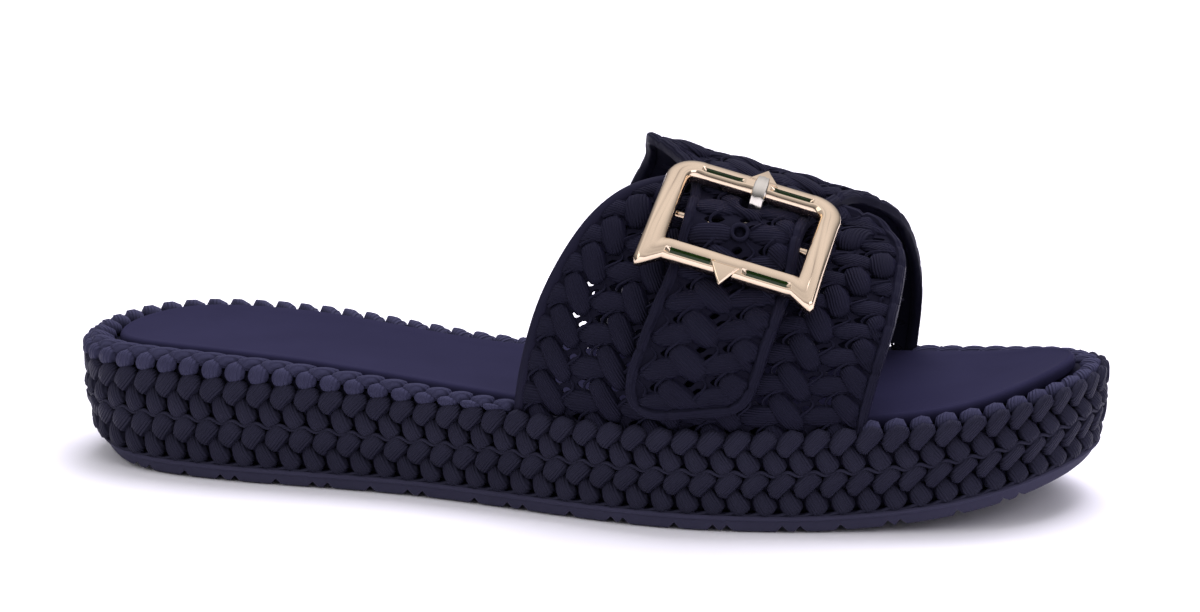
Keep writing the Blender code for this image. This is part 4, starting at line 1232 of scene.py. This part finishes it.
WEAVE_ROW = 8.1 * MM
FLAT_STEP = (9.0 * MM, -1.0 * MM)
GAPS = (
    # place from a slanted leaf's middle (mm), large or small
    ((9.2, 3.05), True), ((1.9, 3.2), False), ((4.4, 0.9), False), ((-5.3, 3.0), False),
)


def disc(name, spot, radius, thickness, level, finish, smooth=False):
    """Upright round plate with its middle at a level."""
    bm = bmesh.new()
    bmesh.ops.create_cone(bm, cap_ends=True, segments=24, radius1=radius, radius2=radius,
                          depth=thickness, matrix=Matrix.Translation((*spot, level)))
    return add_piece(name, bm, finish, smooth)


def add_tube(bm, spots, radius, sides=6, closed=False):
    """Round cord through the spots, with the fibres' UV map along it."""
    uv = bm.loops.layers.uv.verify()
    spots = np.array(spots)
    ahead = directions(spots, closed)
    side = np.cross(ahead, (0, 0, 1))
    side /= np.linalg.norm(side, axis=1)[:, None]
    up = np.cross(side, ahead)
    loops = [[bm.verts.new(spot + radius * (math.cos(a) * right + math.sin(a) * high))
              for a in np.linspace(0, 2 * math.pi, sides, endpoint=False)]
             for spot, right, high in zip(spots, side, up)]
    for number, face in enumerate(skin(bm, loops, around=closed)):
        i, k = divmod(number, sides)
        for loop, across in zip(face.loops, (k, k + 1, k + 1, k)):
            loop[uv].uv = (i / 30, across / sides / 4)


def winding_cords(name, outline, lean, rise, counts, column_step, start, avoid):
    """Thin cords that wind up between the columns, over one leaf and under the next."""
    bm = bmesh.new()
    bm.loops.layers.uv.new("leaf")
    along = np.arange(0, counts[1] * WEAVE_ROW, 0.7 * MM)
    wave = 2 * math.pi * along / WEAVE_ROW
    for column in range(counts[0]):
        for shift, phase in ((CORD_SIDE, 0.0), (-CORD_SIDE, 2.6)):
            middle = start[0] + column * column_step + shift
            flat = np.c_[middle + CORD_SWING * np.sin(wave + phase),
                         start[1] + along, -0.45 * MM + 0.6 * MM * np.cos(wave + phase)]
            flat[:, 1] += rise * flat[:, 0]
            flat[:, 0] += along_table(lean, flat[:, 1] / ARC_LENGTH)
            far, _ = edge_distance(flat[:, :2], outline)
            shown = far > BORDER
            for spot, reach in avoid:
                shown &= np.linalg.norm(flat[:, :2] - np.array(spot), axis=1) > reach
            ends = np.flatnonzero(np.diff(np.r_[0, shown.astype(int), 0]))
            for first, last in zip(ends[::2], ends[1::2]):
                if last - first > 6:
                    add_tube(bm, flat[first:last], CORD_RADIUS)
    return add_piece(name, bm, weave_rubber)


def weave_half(name, outline, lean, rise, counts, column_step, start, turns, lift, avoid=(),
               holes=()):
    """Woven half: wall with gaps, slanted and flat leaves, trimmed to the outline and bent."""
    common = {"Columns": counts[0], "Rows": counts[1], "Column Step": column_step,
              "Row Step": WEAVE_ROW}
    leaves = []
    for shape, (u, v), turn in ((slanted, (0.0, 0.0), turns[0]), (flat_leaf, FLAT_STEP, turns[1])):
        part = grow(name + "_leaves", weave_tree, {
            **common, "Shape": shape, "First Column": start[0] + u, "First Row": start[1] + v,
            "Level": LEAF_LEVEL, "Turn": turn, "Tip": FLAT_FACE, "Wander": 0.03,
            "Finish": weave_rubber})
        lean_columns(part, lean, rise)
        leaves.append(trim_to_edge(part, EACH, outline, BORDER * 0.8, avoid=avoid))
    cutters = []
    for (u, v), large in GAPS:
        part = grow(name + "_gaps", weave_tree, {
            **common, "Shape": lens_gap if large else corner_gap, "First Column": start[0] + u * MM,
            "First Row": start[1] + v * MM, "Finish": wall_rubber})
        lean_columns(part, lean, rise)
        cutters.append(trim_to_edge(part, GAP_EACH, outline, BORDER + 0.5 * MM, tuck=False,
                                    avoid=avoid))
    wall = flat_wall(name + "_wall", outline, WALL_LOW, WALL_HIGH)
    cut(wall, join("gaps", cutters, wall_rubber))
    leaves.append(winding_cords(name + "_cords", outline, lean, rise, counts, column_step, start,
                                avoid))
    cover = join(name + "_weave", leaves, weave_rubber)
    for spot, radius in holes:
        for piece in (wall, cover):
            cut(piece, disc("hole", spot, radius, 12 * MM, 0.0, wall_rubber))
    bend(wall, lift)
    bend(cover, lift)
    wall.data.set_sharp_from_angle(angle=math.radians(50))
    return wall, cover


# %% Weave the panel
BOUND = 8.0 * MM
PANEL_LEAN = tuple((v, (u - 0.466) * LENGTH) for u, v in PANEL[1:9])
REAR = 0.466 * LENGTH
panel_wall, panel_weave = weave_half(
    "panel", panel_edge, PANEL_LEAN, 0.0, (8, 12), 15.0 * MM, (REAR - 6.0 * MM, -1.0 * MM),
    (math.radians(42), math.radians(88)), PANEL_LIFT)
split = int(np.argmax(panel_edge[:, 1]))
rear_line, front_line = panel_edge[:split + 1], panel_edge[split:]
panel_rear = bend(edge_bead("panel_rear_border", rear_line, panel_edge, 3.2 * MM, -2.3 * MM,
                            -0.1 * MM, wall_rubber), PANEL_LIFT)
panel_front = bend(edge_bead("panel_front_border", front_line, panel_edge, 2.6 * MM, -2.3 * MM,
                             0.3 * MM, weave_rubber, segment=BOUND), PANEL_LIFT)
for piece in (panel_wall, panel_weave, panel_rear, panel_front):
    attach(piece, "root")
    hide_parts("upper")
print("panel:", len(panel_weave.data.polygons), "leaf faces")

# %% [markdown]
# ## Inner strap
# The strap rises from the inner side, crosses the instep, lies over the panel and ends in the tab
# under the buckle. A bound border runs all the way round it, and the tab has a round hole and the
# hole that the prong comes through.

# %% Weave the strap
STRAP_LEAN = tuple((v, u * LENGTH) for u, v in (
    (0.636, 0.000), (0.639, 0.076), (0.651, 0.152), (0.668, 0.268), (0.673, 0.340), (0.673, 0.420),
    (0.660, 0.530), (0.663, 0.630), (0.648, 0.800), (0.634, 1.000)))
FREE_HOLE = (0.672 * LENGTH, 0.328 * ARC_LENGTH)
PRONG_HOLE = (0.674 * LENGTH, 0.392 * ARC_LENGTH)
TAB_COLUMN = 14.4 * MM
FREE_RADIUS, PRONG_RADIUS, HOLE_CLEAR = 1.6 * MM, 2.7 * MM, 2.2 * MM
strap_wall, strap_weave = weave_half(
    "strap", strap_edge, STRAP_LEAN, 0.16, (7, 22), TAB_COLUMN,
    (-1.8 * MM - 3 * TAB_COLUMN, 2.0 * MM), (math.radians(52), math.radians(88)), STRAP_LIFT,
    avoid=((FREE_HOLE, HOLE_CLEAR), (PRONG_HOLE, HOLE_CLEAR)),
    holes=((FREE_HOLE, FREE_RADIUS), (PRONG_HOLE, PRONG_RADIUS)))
print("strap:", len(strap_weave.data.polygons), "leaf faces")

# %% The free hole: a ring round it and a near-black disc in it, painted shade, so that nothing glints through
RING_RADIUS, RING_LEVEL, RING_CORD = 1.9 * MM, -0.3 * MM, 0.5 * MM
FLOOR_RADIUS, FLOOR_LEVEL, FLOOR_THICKNESS = 2.1 * MM, -1.5 * MM, 0.5 * MM
turns = np.linspace(0, 2 * math.pi, 28, endpoint=False)
circle = np.c_[np.cos(turns), np.sin(turns), np.zeros(len(turns))]
bm = bmesh.new()
add_tube(bm, circle * RING_RADIUS + (*FREE_HOLE, RING_LEVEL), RING_CORD, sides=8, closed=True)
hole_ring = bend(add_piece("free_hole_ring", bm, weave_rubber), STRAP_LIFT)
# This disc is in the near-black rubber: painted shade, so the hole reads dark instead of showing
# the bar's glint.
hole_shade_disc = bend(disc("free_hole_floor", FREE_HOLE, FLOOR_RADIUS, FLOOR_THICKNESS, FLOOR_LEVEL,
                       painted_shade_rubber, smooth=True), STRAP_LIFT)
strap_border = bend(edge_bead("strap_border", strap_edge, strap_edge, 2.7 * MM, -2.5 * MM,
                              0.5 * MM, weave_rubber, segment=BOUND), STRAP_LIFT)
for piece in (strap_wall, strap_weave, strap_border, hole_ring, hole_shade_disc):
    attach(piece, "root")
    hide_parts("upper")
print("ring round the free hole:", len(hole_ring.data.polygons), "faces")

# %% [markdown]
# ## Buckle
# The buckle is die-cast zinc, polished and plated in pale gold. A mirror-like metal shows the room
# more than itself, so its roughness is low and its colour is only a tint. Two channels run along
# the upper and lower bars, and their faces are painted dark green: a painted reflection of dark
# green surroundings in the gold. The frame is one ring of sections: the channel is part of the
# section and fades out towards the corners.

# %% Plated metal, and the painted green reflection of the channels
def plated(name, color, roughness):
    """Plated metal, a little less polished in patches of some millimetres."""
    made, tree, shader = new_material(name)
    place = add_node(tree, "ShaderNodeTexCoord")
    smear = add_node(tree, "ShaderNodeTexNoise",
                     {"Vector": place.outputs["Object"], "Scale": 1 / (4 * MM), "Detail": 3.0})
    rough = add_node(tree, "ShaderNodeMapRange", {
        "Value": smear.outputs["Fac"], "To Min": roughness * 0.8, "To Max": roughness * 1.5})
    tree.links.new(rough.outputs["Result"], shader.inputs["Roughness"])
    shader.inputs["Base Color"].default_value = srgb(color)
    shader.inputs["Metallic"].default_value = 1.0
    return made


gold_plate = plated("polished_pale_gold_plate", "e3cdb2", 0.10)
silver_plate = plated("polished_nickel_plate", "d9d3c8", 0.14)
# The green of the channels is a painted reflection of dark green surroundings in the gold.
green_reflection_paint, tree, shader = new_material("dark_green_enamel")
place = add_node(tree, "ShaderNodeTexCoord")
green_reflection_patches = add_node(tree, "ShaderNodeTexNoise",
                {"Vector": place.outputs["Object"], "Scale": 1 / (3 * MM)})
tint = add_node(tree, "ShaderNodeMix", {"Factor": green_reflection_patches.outputs["Fac"], "A": srgb("13220a"),
                                        "B": srgb("24400f")}, data_type="RGBA")
tree.links.new(tint.outputs["Result"], shader.inputs["Base Color"])
shader.inputs["Roughness"].default_value = 0.2
print("metals:", gold_plate.name, silver_plate.name)

# %% Place of the buckle
FRAME_WIDTH, FRAME_HEIGHT, FRAME_THICKNESS = 45.0 * MM, 32.8 * MM, 3.2 * MM
FRAME_BAR, FRAME_CORNER, FRAME_BEND = 5.7 * MM, 8.0 * MM, 55.0 * MM
FRAME_FLARE, FOOT_LENGTH, CENTRE_BAR_DROP = 0.4 * MM, 3.4 * MM, 4.0 * MM
NO_LIFT = ((0.0, 0.0), (1.0, 0.0))


def on_arch(x, share, height):
    """One point over the arch, as a vector."""
    one = np.ones(1)
    return Vector(over_arch(one * x, one * share * ARC_LENGTH, one * height, NO_LIFT)[0])


seat_x, seat_share, seat_lift, seat_turn = 0.669 * LENGTH, 0.342, 6.4 * MM, math.radians(-7.0)
seat = on_arch(seat_x, seat_share, 0.0)
off = (on_arch(seat_x, seat_share, seat_lift) - seat).normalized()
along = (on_arch(seat_x + FRAME_WIDTH / 2, seat_share, 0)
         - on_arch(seat_x - FRAME_WIDTH / 2, seat_share, 0)).normalized()
off = (off - along * off.dot(along)).normalized()
along = Matrix.Rotation(seat_turn, 3, off) @ along
facing = Matrix((along, off.cross(along), off)).transposed().to_4x4()
BUCKLE = Matrix.Translation(seat + off * seat_lift) @ facing


def to_buckle(x, y, z):
    """Point of the flat buckle, curved over the instep and set in its place."""
    angle, radius = y / FRAME_BEND, FRAME_BEND + z
    return BUCKLE @ Vector((x, radius * math.sin(angle), radius * math.cos(angle) - FRAME_BEND))


print("buckle at", [round(v, 4) for v in BUCKLE.translation])


# %% Frame of the buckle
def channel_depth(x, first, last):
    """Depth of the channel, as a share, between its two tapered ends."""
    return min(max((x - first) / (0.9 * MM), 0), 1) * min(max((last - x) / (1.2 * MM), 0), 1)


def frame_half(foot):
    """Right half of the frame, top to bottom: outer point, inner point, channel's depth, and 1
    where the channel lies near the outer edge."""
    half, top, bar = FRAME_WIDTH / 2, FRAME_HEIGHT / 2, FRAME_BAR
    rows = []
    reach = half - FRAME_CORNER
    for k in range(14):
        x = reach * k / 14
        rows.append(((x, top), (x, top - bar), channel_depth(x, 3.6 * MM, reach + 1.0 * MM), 0))
    for k in range(9):
        angle = math.pi / 2 * k / 8
        aim = (math.sin(angle), math.cos(angle))
        out = (reach + aim[0] * FRAME_CORNER, top - FRAME_CORNER + aim[1] * FRAME_CORNER)
        inner = FRAME_CORNER - bar
        rows.append((out, (reach + aim[0] * inner, top - FRAME_CORNER + aim[1] * inner),
                     0.2 * k / 8, 0))
    for k in range(1, 9):
        share = (1 - k / 8) * (1 - FRAME_CORNER / top) - k / 8 * 0.55
        rows.append(((half + FRAME_FLARE * (0.15 - share), top * share), (half - bar, top * share),
                     0.2, k / 8))
    inner = (half - bar, bar - top)
    rows.append(((half + FRAME_FLARE * 1.4, -top - foot * 0.55), inner, 0.0, 1))
    rows.append(((half + FRAME_FLARE * 0.6 - 0.4 * MM, -top - foot), inner, 0.0, 1))
    rows.append(((half - 1.6 * MM, -top - foot * 0.92), (inner[0] - 0.3 * MM, inner[1]), 0.0, 1))
    reach = half - bar - FRAME_FLARE
    rows.append(((reach, -top), (inner[0] - 1.2 * MM, inner[1]), 0.0, 1))
    for k in range(1, 15):
        x = reach * (1 - k / 14)
        inner_x = (inner[0] - 1.2 * MM) * (1 - k / 14)
        rows.append(((x, -top), (inner_x, inner[1]), channel_depth(x, 3.8 * MM, reach), 1))
    return rows


half_rows = frame_half(FOOT_LENGTH * 0.72)
left_rows = [((-a[0], a[1]), (-b[0], b[1]), fade, low)
             for a, b, fade, low in reversed(frame_half(FOOT_LENGTH)[1:-1])]
face_up, back = FRAME_THICKNESS / 2, -FRAME_THICKNESS / 2
SECTION = (
    # across the bar (share), height (share of half the thickness), depth of the channel (share)
    (0.00, -1.0, 0), (0.00, 0.20, 0), (0.04, 0.58, 0), (0.11, 0.88, 0), (0.20, 1.00, 0),
    (0.34, 1.05, 0), (0.49, 0.98, 0), (0.52, 0.94, 0.5), (0.56, 0.93, 1), (0.62, 0.93, 1),
    (0.69, 0.93, 1), (0.73, 0.94, 0.5), (0.76, 0.97, 0), (0.83, 0.98, 0), (0.90, 0.75, 0),
    (0.96, 0.35, 0), (1.00, -0.1, 0), (1.00, -1.0, 0),
)
FLIPPED = [(1 - across, height, channel) for across, height, channel in reversed(SECTION)]
bm = bmesh.new()
loops = []
for outer, inner, fade, low in half_rows + left_rows:
    row = []
    for straight, mirrored in zip(SECTION, FLIPPED):
        across, height, channel = (a + (b - a) * low for a, b in zip(straight, mirrored))
        x = outer[0] + (inner[0] - outer[0]) * across
        y = outer[1] + (inner[1] - outer[1]) * across
        crown = 0.4 * MM * (1 - fade) * math.sin(math.pi * min(max((across - 0.1) / 0.8, 0), 1))
        z = face_up * height + crown - channel * fade * 0.8 * MM
        row.append(bm.verts.new(to_buckle(x, y, z)))
    loops.append((row, fade, FLIPPED if low == 1 else SECTION))
for number, face in enumerate(skin(bm, [row for row, _, _ in loops], around=True)):
    i, k = divmod(number, len(SECTION))
    _, fade, section = loops[i]
    next_fade = loops[(i + 1) % len(loops)][1]
    in_channel = section[k][2] + section[(k + 1) % len(SECTION)][2] > 0
    # Channel faces take slot 1, the painted green reflection.
    if in_channel and max(fade, next_fade) > 0.6 and min(fade, next_fade) > 0.02:
        face.material_index = 1


STUD_HALF, STUD_BACK, STUD_TIP = 3.7 * MM, 2.4 * MM, 3.0 * MM


def add_stud(bm, bar, shift):
    """Flat-faced triangle on a bar, its corner pointing away from the frame."""
    base, tip = bar * (FRAME_HEIGHT / 2 - STUD_BACK), bar * (FRAME_HEIGHT / 2 + STUD_TIP)
    middle = base + (tip - base) / 3
    rims = []
    for size, z in ((1.0, -0.4 * MM), (1.0, face_up + 0.5 * MM), (0.82, face_up + 0.85 * MM)):
        rims.append([bm.verts.new(to_buckle(shift + x * size, middle + (y - middle) * size, z))
                     for x, y in ((-STUD_HALF, base), (STUD_HALF, base), (0, tip))])
    skin(bm, rims)


def add_rod(bm, reach, drop, radius, sides=12):
    """Rod across the frame, curved with it."""
    turns = np.linspace(0, 2 * math.pi, sides, endpoint=False)
    skin(bm, [[bm.verts.new(to_buckle(x, radius * math.cos(a), radius * math.sin(a) - drop))
               for a in turns] for x in np.linspace(-reach, reach, 9)])


add_stud(bm, 1, 1.0 * MM)
add_stud(bm, -1, -0.9 * MM)
post = FRAME_WIDTH / 2 - FRAME_BAR / 2
CENTRE_BAR_RADIUS = 0.9 * MM
POST_CORNERS = [(dx * CENTRE_BAR_RADIUS, dy * CENTRE_BAR_RADIUS)
                for dx, dy in ((-1, -1), (1, -1), (1, 1), (-1, 1))]
add_rod(bm, post + CENTRE_BAR_RADIUS, CENTRE_BAR_DROP, CENTRE_BAR_RADIUS)
for side in (-1, 1):
    skin(bm, [[bm.verts.new(to_buckle(side * post + x, y, z)) for x, y in POST_CORNERS]
              for z in (-CENTRE_BAR_DROP, 0.0)])
buckle = add_piece("buckle_frame_cast", bm, gold_plate)
# Second slot: the painted green reflection of the channels.
buckle.data.materials.append(green_reflection_paint)
edge_round = buckle.modifiers.new("edge_round", "BEVEL")
edge_round.width, edge_round.segments, edge_round.limit_method = 0.16 * MM, 2, "ANGLE"
edge_round.angle_limit = math.radians(32)
bake(buckle)
buckle.data.set_sharp_from_angle(angle=math.radians(35))
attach(buckle, "root")
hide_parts("buckle_frame")
print("buckle:", len(buckle.data.polygons), "faces")

# %% [markdown]
# ## Prong
# The prong is a bent strip with a low ridge along its middle. It hooks round the centre bar under
# the tab, comes up through the hole and lies in the notch of the upper bar.

# %% Prong
PRONG_PATH = (
    # up the strap (share of half the frame's height), off the frame's middle (thicknesses)
    (0.18, -1.41), (0.32, -1.53), (0.43, -1.25), (0.49, -0.69), (0.54, -0.06), (0.60, 0.47),
    (0.68, 0.72), (0.76, 0.84), (0.84, 0.86), (0.91, 0.78),
)
PRONG_HALF, PRONG_SHIFT, PRONG_PLAY = 1.75 * MM, 0.8 * MM, 0.25 * MM
reach = CENTRE_BAR_RADIUS + PRONG_PLAY + 0.5 * MM
spots = [(reach * math.cos(a), reach * math.sin(a) - CENTRE_BAR_DROP)
         for a in np.linspace(math.pi, 2 * math.pi, 8)]
spots += [(up * FRAME_HEIGHT / 2, lift * FRAME_THICKNESS) for up, lift in PRONG_PATH]
knots = np.array(spots)
STATIONS, TIP_FROM, TIP_NARROWS = 40, 34, 0.18
path = at_lengths(knots, np.linspace(0, walk(knots)[-1], STATIONS))
for _ in range(3):
    path[1:-1] = (path[:-2] + 2 * path[1:-1] + path[2:]) / 4
STRIP = (
    # section of the strip: across (share of its half width), off it (mm)
    (-1.0, -0.5), (1.0, -0.5), (1.0, 0.15), (0.86, 0.42), (0.4, 0.36), (0.0, 0.55), (-0.4, 0.36),
    (-0.86, 0.42), (-1.0, 0.15),
)
bm = bmesh.new()
loops = []
for i, (at, aim) in enumerate(zip(path, directions(path))):
    wide = PRONG_HALF * (1 - TIP_NARROWS * max(0, i - TIP_FROM) / (STATIONS - 1 - TIP_FROM))
    off = MM * np.array((-aim[1], aim[0]))
    loops.append([bm.verts.new(to_buckle(PRONG_SHIFT + x * wide, *(at + z * off)))
                  for x, z in STRIP])
skin(bm, loops)
prong = add_piece("prong_strip", bm, silver_plate)
prong.data.set_sharp_from_angle(angle=math.radians(40))
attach(prong, "root")
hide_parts("buckle_prong")
print("prong:", len(prong.data.polygons), "faces")

# %% [markdown]
# ## Clear the bench
# Rails and single leaves were only tools. They are removed.

# %% Remove the tools
for tool in (low_edge, mid_edge, top_edge, rope_out, rope_in, knob_low, knob_high, upper_leaf,
             lower_leaf, strand, knob, slanted, flat_leaf, lens_gap, corner_gap):
    bpy.data.objects.remove(tool)
bpy.context.view_layer.update()
